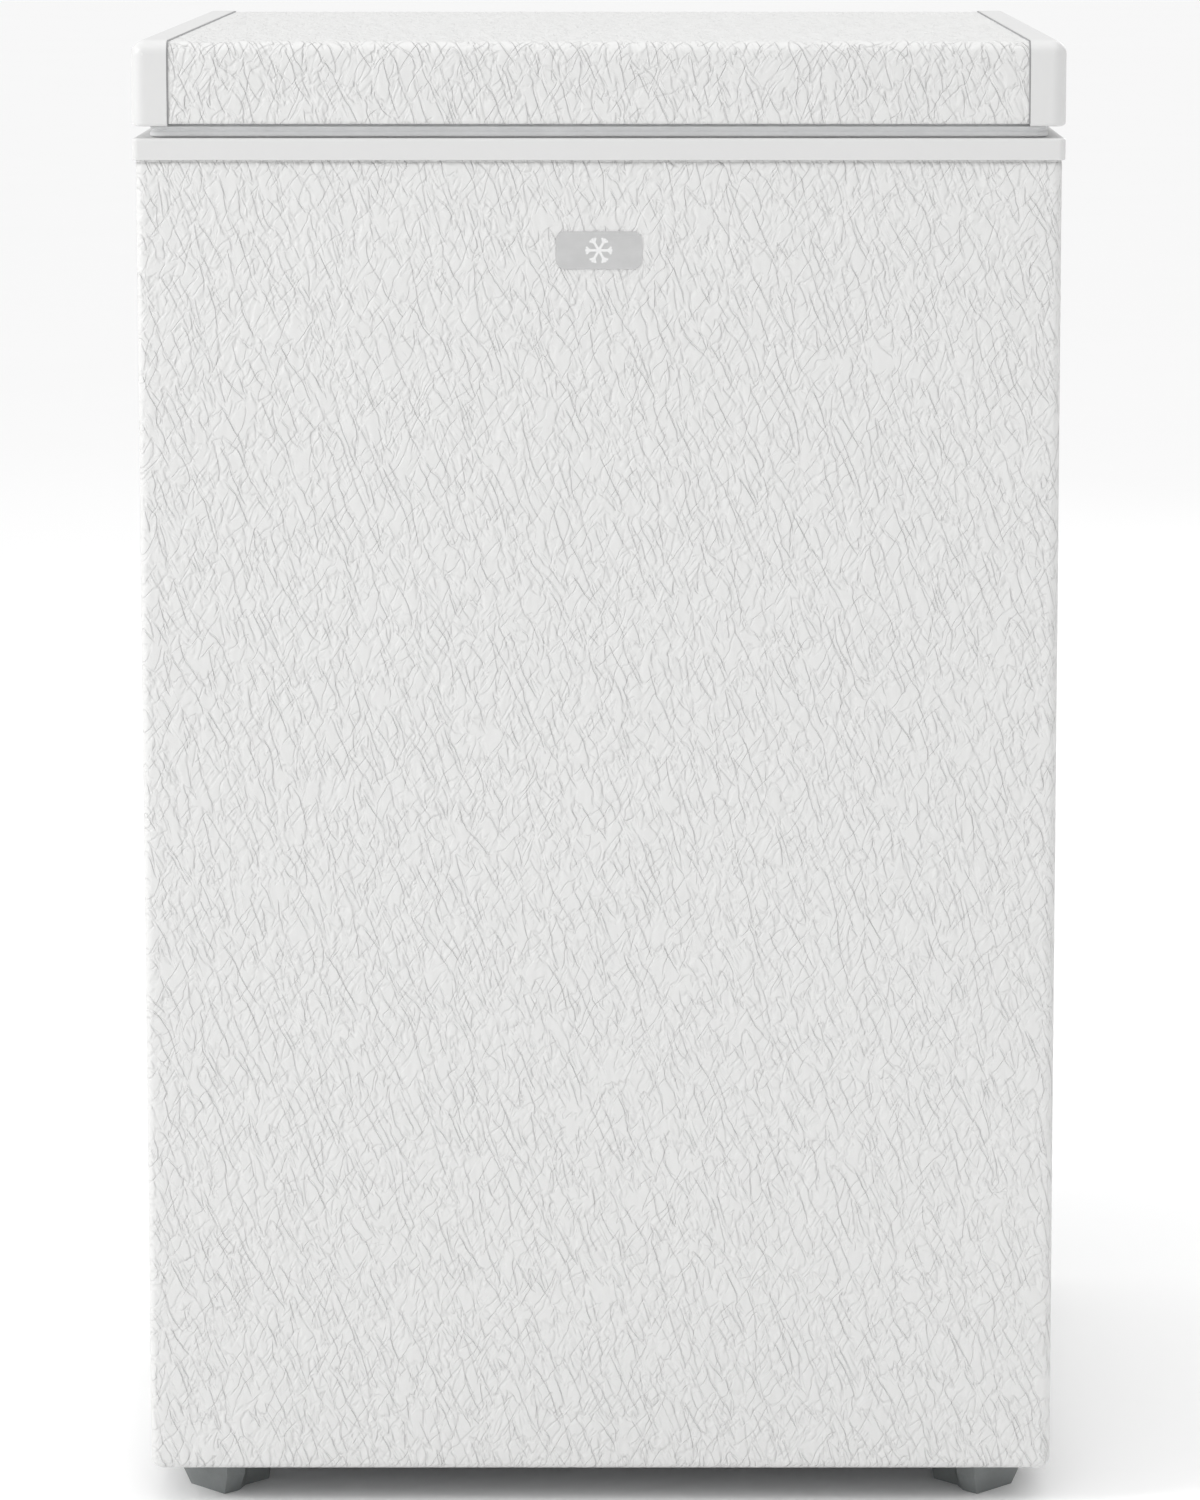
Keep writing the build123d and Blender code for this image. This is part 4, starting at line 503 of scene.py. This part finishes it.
def group_crease_emboss():
    """Pressed creases: noise squeezed along two leaning directions, each turned into ridges.

    Across and Along lay the sheet flat: their dot products with the place are the two sheet coordinates.
    """
    tree, n, i, o = new_group("crease_emboss", [
        ("Vector", "Vector", None), ("Across", "Vector", (1, 0, 0)), ("Along", "Vector", (0, 0, 1)),
        ("Creases per Metre", "Float", 150.0), ("Lean", "Float", 0.35),
    ], [("Height", "Float")])

    def dot(socket):
        node = n.add("ShaderNodeVectorMath", operation="DOT_PRODUCT")
        n.join(i["Vector"], node.inputs[0])
        n.join(socket, node.inputs[1])
        return node.outputs["Value"]

    u, v = dot(i["Across"]), dot(i["Along"])
    layers = []
    for way, reach, shift in ((1.0, 0.30, 0.0), (-1.4, 0.42, 7.3)):
        slope = n.math("MULTIPLY", i["Lean"], way)
        leaned = n.math("ADD", n.math("MULTIPLY", v, slope), u)
        flat = n.add("ShaderNodeCombineXYZ")
        n.join(n.math("ADD", leaned, shift), flat.inputs["X"])
        n.join(n.math("MULTIPLY", v, reach), flat.inputs["Y"])
        wave = n.add("ShaderNodeTexNoise", noise_dimensions="2D")
        wave.inputs["Detail"].default_value = 2.0
        wave.inputs["Roughness"].default_value = 0.45
        wave.inputs["Distortion"].default_value = 0.25
        n.join(flat.outputs[0], wave.inputs["Vector"])
        n.join(i["Creases per Metre"], wave.inputs["Scale"])
        ridge = n.math("ABSOLUTE", n.math("SUBTRACT", wave.outputs["Fac"], 0.5))
        edge = n.add("ShaderNodeMapRange", interpolation_type="SMOOTHSTEP")
        edge.inputs["From Min"].default_value, edge.inputs["From Max"].default_value = 0.0, 0.09
        n.join(ridge, edge.inputs["Value"])
        layers.append(edge.outputs[0])
    n.join(n.math("ADD", n.math("MULTIPLY", layers[0], 0.6), n.math("MULTIPLY", layers[1], 0.4)), o["Height"])
    return tree


def group_brushed_lines():
    """Long fine scratches along one axis: noise squeezed along it."""
    tree, n, i, o = new_group("brushed_lines", [
        ("Vector", "Vector", None), ("Squeeze", "Vector", (1, 1, 0.04)), ("Lines per Metre", "Float", 1500.0),
    ], [("Height", "Float")])
    squeeze = n.add("ShaderNodeVectorMath", operation="MULTIPLY")
    n.join(i["Vector"], squeeze.inputs[0])
    n.join(i["Squeeze"], squeeze.inputs[1])
    n.join(n.noise(squeeze.outputs[0], i["Lines per Metre"], 4.0, 0.6), o["Height"])
    return tree


def group_settled_dust():
    """Dust on faces that look up: the normal's rise, broken by noise."""
    tree, n, i, o = new_group("settled_dust", [
        ("Vector", "Vector", None), ("Amount", "Float", 0.3),
    ], [("Mask", "Float")])
    up = n.add("ShaderNodeSeparateXYZ")
    n.join(n.add("ShaderNodeNewGeometry").outputs["Normal"], up.inputs[0])
    patch = n.noise(i["Vector"], 90.0, 5.0, 0.6)
    rise = n.math("MULTIPLY", n.math("MAXIMUM", up.outputs["Z"], 0.0), patch)
    n.join(n.math("MULTIPLY", rise, i["Amount"], clamp=True), o["Mask"])
    return tree


GROUPS = {}


def finish(name, tone, other, rough, patches=18.0, gloss_swing=0.08, metal=0.0, grain=1400.0, depth=0.00002,
           coat=0.0, dust=0.0, brushed=None, creases=None, crease_depth=0.0, see_through=0.0, raised=None):
    """One finish: a Principled shader whose tone, gloss and bump come from the shared groups."""
    material = bpy.data.materials.new(name)
    material.use_nodes = True
    material.diffuse_color = (*tone, 1)
    n = Nodes(material.node_tree)
    shader = material.node_tree.nodes["Principled BSDF"]
    place = n.add("ShaderNodeTexCoord").outputs["Object"]

    def shared(key, **values):
        node = n.add("ShaderNodeGroup", node_tree=GROUPS[key])
        n.join(place, node.inputs["Vector"])
        for label, value in values.items():
            node.inputs[label.replace("_", " ")].default_value = value
        return node.outputs

    drift = shared("tone_drift", Tone=(*tone, 1), Other_Tone=(*other, 1), Patches_per_Metre=patches)
    tint = drift["Color"]
    if dust:
        mix = n.add("ShaderNodeMix", data_type="RGBA")
        n.join(shared("settled_dust", Amount=dust)["Mask"], mix.inputs["Factor"])
        n.join(tint, mix.inputs[6])
        mix.inputs[7].default_value = (0.42, 0.41, 0.39, 1)
        tint = mix.outputs[2]
    if raised:
        # the relief in front of this plane is painted lighter: a painted highlight standing for the shine of
        # its polish
        depth_of = n.add("ShaderNodeSeparateXYZ")
        n.join(place, depth_of.inputs[0])
        mix = n.add("ShaderNodeMix", data_type="RGBA")
        n.join(n.math("LESS_THAN", depth_of.outputs["Y"], raised), mix.inputs["Factor"])
        n.join(tint, mix.inputs[6])
        mix.inputs[7].default_value = (0.93, 0.93, 0.93, 1)
        tint = mix.outputs[2]
    n.join(tint, shader.inputs["Base Color"])
    gloss = n.math("ADD", n.math("MULTIPLY", drift["Mask"], gloss_swing), rough - gloss_swing / 2)
    n.join(gloss, shader.inputs["Roughness"])
    if brushed:
        height = shared("brushed_lines", Squeeze=brushed, Lines_per_Metre=grain)["Height"]
    else:
        height = shared("mould_grain", Grains_per_Metre=grain)["Height"]
    bump = n.add("ShaderNodeBump")
    bump.inputs["Distance"].default_value = depth
    n.join(height, bump.inputs["Height"])
    if creases:
        across, along, per_metre = creases
        fold = shared("crease_emboss", Across=across, Along=along, Creases_per_Metre=per_metre)
        under = n.add("ShaderNodeBump")
        under.inputs["Distance"].default_value = crease_depth
        n.join(fold["Height"], under.inputs["Height"])
        n.join(under.outputs["Normal"], bump.inputs["Normal"])
    n.join(bump.outputs["Normal"], shader.inputs["Normal"])
    shader.inputs["Metallic"].default_value = metal
    shader.inputs["Coat Weight"].default_value = coat
    shader.inputs["Coat Roughness"].default_value = 0.25
    shader.inputs["Transmission Weight"].default_value = see_through
    return material


def shade(tone, share):
    return tuple(share * c for c in tone)


def build_finishes(sheet, trim):
    """Every finish of the freezer by the name of the record's material slot."""
    steel, plastic = tuple(sheet.steel_colour), tuple(trim.plastic_colour)
    rubber, bead = tuple(trim.gasket_colour), tuple(trim.shadow_bead_colour)
    wrap_creases = ((1, 1, 0), (0, 0, 1), CREASES_PER_METRE)
    lid_creases = ((1, 0, 0), (0, 1, 1), CREASES_PER_METRE)
    paint = dict(patches=6.0, gloss_swing=0.06, coat=0.15, grain=1100.0, depth=0.00003)
    grey, zinc = (0.50, 0.51, 0.52), (0.55, 0.56, 0.57)
    return {
        "outer_steel": finish("embossed_white_paint", steel, shade(steel, 0.985), 0.42, creases=wrap_creases,
                              crease_depth=WRAP_CREASE_DEPTH, **paint),
        "lid_steel": finish("embossed_lid_paint", steel, shade(steel, 0.985), 0.42, creases=lid_creases,
                            crease_depth=LID_CREASE_DEPTH, **paint),
        "base_steel": finish("galvanised_base", zinc, shade(zinc, 0.8), 0.42, patches=45.0, gloss_swing=0.2,
                             metal=0.9, dust=0.5),
        "liner_sheet": finish("stucco_liner", (0.80, 0.81, 0.82), (0.77, 0.78, 0.79), 0.34, grain=420.0,
                              depth=0.00012, coat=0.1),
        "foam": finish("rigid_foam", (0.80, 0.70, 0.44), (0.70, 0.58, 0.33), 0.9, grain=900.0, depth=0.0003,
                       patches=60.0),
        "white_plastic": finish("white_plastic", plastic, shade(plastic, 0.985), 0.33, patches=9.0,
                                grain=2200.0, depth=0.000012, coat=0.1),
        "lid_liner_plastic": finish("vacuum_formed_liner", (0.82, 0.82, 0.82), (0.79, 0.79, 0.80), 0.4,
                                    grain=800.0, depth=0.00004),
        "gasket_rubber": finish("soft_gasket", rubber, shade(rubber, 0.93), 0.62, patches=40.0, grain=2600.0,
                                depth=0.00002),
        # dark grey bead: painted shade of the shadow line at the end caps' step
        "shadow_seam_bead": finish("shadow_seam_bead", bead, shade(bead, 0.85), 0.6, patches=80.0, depth=0.00001),
        "hinge_steel": finish("zinc_plate", zinc, shade(zinc, 0.82), 0.32, patches=60.0, metal=1.0,
                              brushed=(1, 1, 0.05), grain=2400.0, depth=0.00001),
        "pin_steel": finish("bright_screws", (0.62, 0.62, 0.60), (0.50, 0.50, 0.48), 0.28, patches=200.0,
                            metal=1.0, brushed=(0.06, 1, 1), grain=4000.0, depth=0.000006),
        "spring_steel": finish("spring_wire", (0.42, 0.42, 0.43), (0.30, 0.30, 0.31), 0.3, patches=120.0,
                               metal=1.0, grain=5000.0, depth=0.000008),
        "plunger_nylon": finish("natural_nylon", (0.72, 0.71, 0.66), (0.66, 0.65, 0.60), 0.45, depth=0.00001),
        "foot_plastic": finish("grey_feet", (0.21, 0.225, 0.225), (0.18, 0.19, 0.19), 0.5, patches=70.0,
                               grain=1800.0, depth=0.00003, dust=0.2),
        "compressor_black": finish("black_enamel", (0.018, 0.018, 0.02), (0.03, 0.03, 0.032), 0.3,
                                   patches=40.0, grain=700.0, depth=0.00006, coat=0.3, dust=0.7),
        "motor_steel": finish("motor_laminations", grey, shade(grey, 0.7), 0.4, metal=1.0,
                              brushed=(1, 1, 12.0), grain=900.0, depth=0.0001),
        "grommet_rubber": finish("black_rubber", (0.03, 0.03, 0.03), (0.045, 0.045, 0.045), 0.75, dust=0.4,
                                 depth=0.00003),
        "terminal_plastic": finish("terminal_plastic", (0.06, 0.06, 0.065), (0.08, 0.08, 0.085), 0.45,
                                   grain=1600.0, depth=0.00003, dust=0.5),
        "copper": finish("copper_tube", (0.72, 0.36, 0.22), (0.48, 0.24, 0.15), 0.3, patches=70.0,
                         gloss_swing=0.25, metal=1.0, depth=0.00001),
        "tube_aluminium": finish("aluminium_tube", (0.70, 0.71, 0.72), (0.60, 0.61, 0.62), 0.35, metal=1.0),
        "tube_steel": finish("steel_tube", (0.25, 0.25, 0.26), (0.20, 0.20, 0.21), 0.4, metal=0.9),
        "cover_plastic": finish("grey_cover", (0.36, 0.37, 0.375), (0.33, 0.34, 0.345), 0.5, patches=14.0,
                                grain=1100.0, depth=0.00005, dust=0.2),
        "bezel_plastic": finish("panel_frame", (0.60, 0.61, 0.62), (0.57, 0.58, 0.59), 0.38, grain=2000.0,
                                depth=0.00002),
        "knob_plastic": finish("knob_plastic", (0.10, 0.105, 0.11), (0.13, 0.135, 0.14), 0.36, grain=2600.0,
                               depth=0.000015),
        "lens_green": finish("green_lens", (0.04, 0.38, 0.10), (0.05, 0.46, 0.13), 0.12, see_through=0.35),
        "lens_red": finish("red_lens", (0.50, 0.03, 0.02), (0.60, 0.05, 0.03), 0.12, see_through=0.35),
        "lens_amber": finish("amber_lens", (0.62, 0.27, 0.02), (0.70, 0.33, 0.04), 0.12, see_through=0.35),
        # the badge's raised relief is painted lighter, a painted highlight
        "badge_metal": finish("satin_badge", (0.66, 0.66, 0.66), (0.60, 0.60, 0.60), 0.24, patches=90.0,
                              metal=0.85, brushed=(0.04, 1, 1), grain=3000.0, depth=0.00001,
                              raised=corners("badge")[0][1] + 0.0002),
        "basket_coating": finish("coated_wire", (0.80, 0.81, 0.82), (0.75, 0.76, 0.77), 0.3, patches=60.0,
                                 grain=900.0, depth=0.00003, coat=0.25),
    }


FINISHES = {}


# ---- operators ----
class FREEZER_OT_finishes(bpy.types.Operator):
    """Makes the shared groups and gives every CAD piece its finish"""
    bl_idname = "freezer.finishes"
    bl_label = "Finishes"

    def execute(self, context):
        for make in (group_tone_drift, group_mould_grain, group_crease_emboss, group_brushed_lines,
                     group_settled_dust):
            tree = make()
            GROUPS[tree.name] = tree
        FINISHES.update(build_finishes(context.scene.freezer_sheet, context.scene.freezer_trim))
        slots = {s["node"]: s["material_slot"] for s in frame["record"]["subparts"]}
        for name, node in frame["nodes"].items():
            for slot in node.material_slots:
                slot.material = FINISHES[slots[name]]
        return {"FINISHED"}


class FREEZER_OT_outer_sheet(bpy.types.Operator):
    """Lays the embossed front and sides over the cabinet's sheet"""
    bl_idname = "freezer.outer_sheet"
    bl_label = "Embossed front and sides"

    def execute(self, context):
        sheet = context.scene.freezer_sheet
        paint = FINISHES["outer_steel"]
        hidden = WRAP_LOW[1] + sheet.front_corner + 1 * MM
        front = slab("front_embossed_sheet", front_surface(sheet), np.array([0, 1, 0]), hidden, "cabinet",
                     paint)
        mend_normals(front)
        for name, side in (("left", -1), ("right", 1)):
            hidden = side * (WRAP_HIGH[0] - sheet.base_corner - 1 * MM)
            piece = slab(f"{name}_embossed_sheet", side_surface(sheet, side), np.array([1, 0, 0]), hidden,
                         "cabinet", paint)
            mend_normals(piece)
        return {"FINISHED"}


class FREEZER_OT_lid_sheet(bpy.types.Operator):
    """Lays the lid's embossed sheet over its front, top and rear"""
    bl_idname = "freezer.lid_sheet"
    bl_label = "Embossed lid"

    def execute(self, context):
        piece = build_lid_skin(context.scene.freezer_sheet, FINISHES["lid_steel"])
        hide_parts("lid_panel")
        return {"FINISHED"}


class FREEZER_OT_shadow_beads(bpy.types.Operator):
    """Runs a dark grey bead along the joint between each end cap and the lid's sheet; its grey is painted
    shade, the shadow line at each cap's step
    """
    bl_idname = "freezer.beads"
    bl_label = "Cap beads"

    def execute(self, context):
        radius = context.scene.freezer_trim.bead_radius
        y, z, ny, nz = lid_line(context.scene.freezer_sheet, 60)
        lift = radius * 0.55
        up = np.stack([np.zeros_like(y), ny, nz], axis=-1)
        for name, side in (("left", -1), ("right", 1)):
            path = np.stack([np.full_like(y, side * (CAP_EDGE - radius * 0.8)), y, z], axis=-1) + up * lift
            across = np.broadcast_to(np.array([1.0, 0, 0]), path.shape)
            piece = tube(f"cap_shadow_bead_{name}", path, across, up, radius, 10, "lid", FINISHES["shadow_seam_bead"])
            mend_normals(piece)
        return {"FINISHED"}


class FREEZER_OT_gasket(bpy.types.Operator):
    """Replaces the plain gasket by one with a magnet tube, a bellows fold and a dart"""
    bl_idname = "freezer.gasket"
    bl_label = "Lid gasket"

    def execute(self, context):
        low, high = corners("lid_gasket")
        outline = np.array([
            (1.6, 0.0), (12.4, 0.0), (13.9, 0.6), (13.9, 2.9), (12.6, 3.6), (12.2, 4.3), (13.6, 5.0),
            (13.8, 6.0), (12.6, 6.5), (8.6, 6.5), (8.5, 9.0), (9.4, 11.4), (7.6, 14.2), (6.4, 14.2),
            (4.6, 11.4), (5.5, 9.0), (5.4, 6.5), (1.4, 6.5), (0.2, 6.0), (0.4, 5.0), (1.8, 4.3),
            (1.4, 3.6), (0.1, 2.9), (0.1, 0.6),
        ]) * MM
        outline = rounded_profile(outline, 2) + np.array([0, low[2]])
        points = ring_surface(low, high, context.scene.freezer_trim.gasket_corner, outline)
        rows, columns = points.shape[:2]
        faces = grid_faces(rows, columns, close_rows=True, close_columns=True)
        piece = new_piece("bellows_gasket", points, faces.tolist(), "lid", FINISHES["gasket_rubber"])
        mend_normals(piece)
        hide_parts("lid_gasket")
        return {"FINISHED"}


class FREEZER_OT_springs(bpy.types.Operator):
    """Winds each hinge spring with closed end turns, stretched between the bracket and its plunger"""
    bl_idname = "freezer.springs"
    bl_label = "Hinge springs"

    def execute(self, context):
        trim = context.scene.freezer_trim
        wire = trim.wire_radius
        for name in ("left", "right"):
            low, high = corners(f"hinge_spring_{name}")
            centre = (low + high) / 2
            mean = (high[0] - low[0]) / 2 - wire
            # the rise is slow for the first and the last turn, where the wire lies on itself
            turn = np.linspace(0, trim.spring_turns, int(trim.spring_turns * 36) + 1)
            closed = 2.1 * wire
            free = (high[2] - low[2] - 2 * wire - 2 * closed) / (trim.spring_turns - 2)
            rate = closed + (free - closed) * smooth(0.7, 1.3, turn) * smooth(
                0.7, 1.3, trim.spring_turns - turn)
            rise = np.concatenate([[0], np.cumsum((rate[1:] + rate[:-1]) / 2 * np.diff(turn))])
            rise *= (high[2] - low[2] - 2 * wire) / rise[-1]
            angle = 2 * np.pi * turn
            out = np.stack([np.cos(angle), np.sin(angle), np.zeros_like(angle)], axis=-1)
            path = centre + out * mean
            path[:, 2] = low[2] + wire + rise
            up = np.broadcast_to(np.array([0, 0, 1.0]), out.shape)
            piece = tube(f"coil_spring_{name}", path, out, up, wire, 12, "cabinet", FINISHES["spring_steel"])
            mend_normals(piece)
            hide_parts(f"hinge_spring_{name}")
            # a blended piece hangs on no body of its own
            piece.parent = None
            piece.matrix_world.identity()
            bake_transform(piece)
        return {"FINISHED"}


class FREEZER_OT_dial(bpy.types.Operator):
    """Sets raised marks on the panel round the knob, longer towards cold"""
    bl_idname = "freezer.dial"
    bl_label = "Dial marks"

    def execute(self, context):
        count = context.scene.freezer_trim.dial_marks
        low, high = corners("thermostat_knob")
        centre = (low + high) / 2
        face = corners("control_bezel")[1][1]
        radius = (high[0] - low[0]) / 2
        share = np.linspace(0, 1, count)
        angle = np.radians(-60 + 300 * share)[:, None, None]
        first = radius + 1.2 * MM
        last = first + (1.4 + 2.2 * share)[:, None, None] * MM
        # each mark is a low ridge: 5 places across it by 2 along it, with both ends down on the panel
        u = np.array([-1, -0.8, 0, 0.8, 1])[None, :, None]
        v = np.array([0.0, 0.12, 0.88, 1.0])[None, None, :]
        lift = 0.32 * MM * np.sqrt(np.clip(1 - u**2, 0, 1)) * np.array([0, 1, 1, 0])[None, None, :]
        along, side, lift = np.broadcast_arrays(first + (last - first) * v, 0.35 * MM * u, lift)
        x = centre[0] - along * np.sin(angle) + side * np.cos(angle)
        z = centre[2] + along * np.cos(angle) + side * np.sin(angle)
        y = face - 0.05 * MM + lift
        points = np.stack([x, y, z], axis=-1)
        quads = grid_faces(5, 4)
        under = [0, 1, 2, 3, 7, 11, 15, 19, 18, 17, 16, 12, 8, 4]
        faces = []
        for mark in range(count):
            faces += (quads + 20 * mark).tolist() + [[c + 20 * mark for c in under]]
        piece = new_piece("dial_marks", points, faces, "cabinet", FINISHES["knob_plastic"])
        mend_normals(piece)
        return {"FINISHED"}


class FREEZER_OT_stage(bpy.types.Operator):
    """Lays the pale floor, and sets the lights and the camera"""
    bl_idname = "freezer.stage"
    bl_label = "Stage"

    def execute(self, context):
        scene, stage = context.scene, context.scene.freezer_stage
        # floor: rings whose radius grows as a power, round the freezer
        rings, spokes = 40, 64
        ring = np.linspace(0, 1, rings)[:, None] ** 3 * stage.floor_radius + 0.01
        turn = np.linspace(0, 2 * np.pi, spokes, endpoint=False)[None, :]
        points = np.stack([ring * np.cos(turn), ring * np.sin(turn), np.zeros((rings, spokes))], axis=-1)
        faces = grid_faces(rings, spokes, close_columns=True).tolist() + [list(range(spokes))]
        tone = tuple(stage.floor_colour)
        mesh = bpy.data.meshes.new("floor")
        mesh.from_pydata(points.reshape(-1, 3), [], faces)
        floor = bpy.data.objects.new("floor", mesh)
        scene.collection.objects.link(floor)
        mesh.materials.append(finish("pale_floor", tone, shade(tone, 0.99), 0.75, patches=1.5, grain=60.0,
                                     depth=0.0001))
        mend_normals(floor)

        low, high = (np.array(c) for c in CAD_BOX)
        middle = Vector((low + high) / 2)

        def area(name, place, size, power):
            light = bpy.data.lights.new(name, "AREA")
            light.shape, light.size, light.size_y, light.energy = "RECTANGLE", size[0], size[1], power
            lamp = bpy.data.objects.new(name, light)
            lamp.location = place
            lamp.rotation_mode = "QUATERNION"
            lamp.rotation_quaternion = (middle - Vector(place)).to_track_quat("-Z", "Y")
            scene.collection.objects.link(lamp)

        area("key_light", (-3.1, -1.3, 2.0), (0.9, 1.6), stage.key_power)
        area("top_light", (0.3, -0.6, 3.0), (2.4, 2.0), stage.fill_power)
        area("rear_light", (1.8, 3.2, 2.2), (1.6, 1.6), stage.fill_power * 2)

        world = bpy.data.worlds.new("white_room")
        world.use_nodes = True
        room = world.node_tree.nodes["Background"]
        # the room is brighter overhead than at eye level, so the floor stays pale far away
        n = Nodes(world.node_tree)
        way = n.add("ShaderNodeSeparateXYZ")
        n.join(n.add("ShaderNodeTexCoord").outputs["Generated"], way.inputs[0])
        level = 0.66 * stage.sky
        rise = n.math("MULTIPLY", n.math("MAXIMUM", way.outputs["Z"], 0.0), level)
        from_left = n.math("MULTIPLY", way.outputs["X"], -0.12 * stage.sky)
        room.inputs["Color"].default_value = (1.0, 1.0, 1.0, 1)
        n.join(n.math("ADD", n.math("ADD", rise, from_left), level), room.inputs["Strength"])
        scene.world = world
        scene.view_settings.view_transform = "Standard"

        lens = bpy.data.cameras.new("camera")
        lens.sensor_width, lens.lens = LENS_WIDTH, FOCAL_LENGTH
        lens.shift_x, lens.shift_y = CAMERA_SHIFT
        camera = bpy.data.objects.new("camera", lens)
        camera.location = (CAMERA_ASIDE, low[1] - stage.distance, high[2] + CAMERA_ABOVE)
        camera.rotation_euler = (math.pi / 2 - stage.pitch, 0, 0)
        scene.collection.objects.link(camera)
        scene.camera = camera
        return {"FINISHED"}


OPERATORS = (
    FREEZER_OT_finishes, FREEZER_OT_outer_sheet, FREEZER_OT_lid_sheet, FREEZER_OT_shadow_beads, FREEZER_OT_gasket,
    FREEZER_OT_springs, FREEZER_OT_dial, FREEZER_OT_stage,
)
SETTINGS = {
    "freezer_sheet": FREEZER_PG_sheet,
    "freezer_trim": FREEZER_PG_trim,
    "freezer_stage": FREEZER_PG_stage,
}


class FREEZER_PT_panel(bpy.types.Panel):
    """Sizes, colours and makers of the freezer's finishes"""
    bl_idname = "FREEZER_PT_panel"
    bl_label = "Chest freezer"
    bl_space_type = "VIEW_3D"
    bl_region_type = "UI"
    bl_category = "Freezer"

    def draw(self, context):
        for name, group in SETTINGS.items():
            box = self.layout.box()
            for key in group.__annotations__:
                box.prop(getattr(context.scene, name), key)
        for operator in OPERATORS:
            self.layout.operator(operator.bl_idname)


def register():
    for made in (*SETTINGS.values(), *OPERATORS, FREEZER_PT_panel):
        bpy.utils.register_class(made)
    for name, group in SETTINGS.items():
        setattr(bpy.types.Scene, name, PointerProperty(type=group))


def unregister():
    for name in SETTINGS:
        delattr(bpy.types.Scene, name)
    for made in reversed((*SETTINGS.values(), *OPERATORS, FREEZER_PT_panel)):
        bpy.utils.unregister_class(made)


def main():
    """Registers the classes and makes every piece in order."""
    register()
    bpy.ops.freezer.finishes()
    bpy.ops.freezer.outer_sheet()
    bpy.ops.freezer.lid_sheet()
    bpy.ops.freezer.beads()
    bpy.ops.freezer.gasket()
    bpy.ops.freezer.springs()
    bpy.ops.freezer.dial()
    bpy.ops.freezer.stage()
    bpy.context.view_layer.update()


if __name__ == "__main__":
    main()
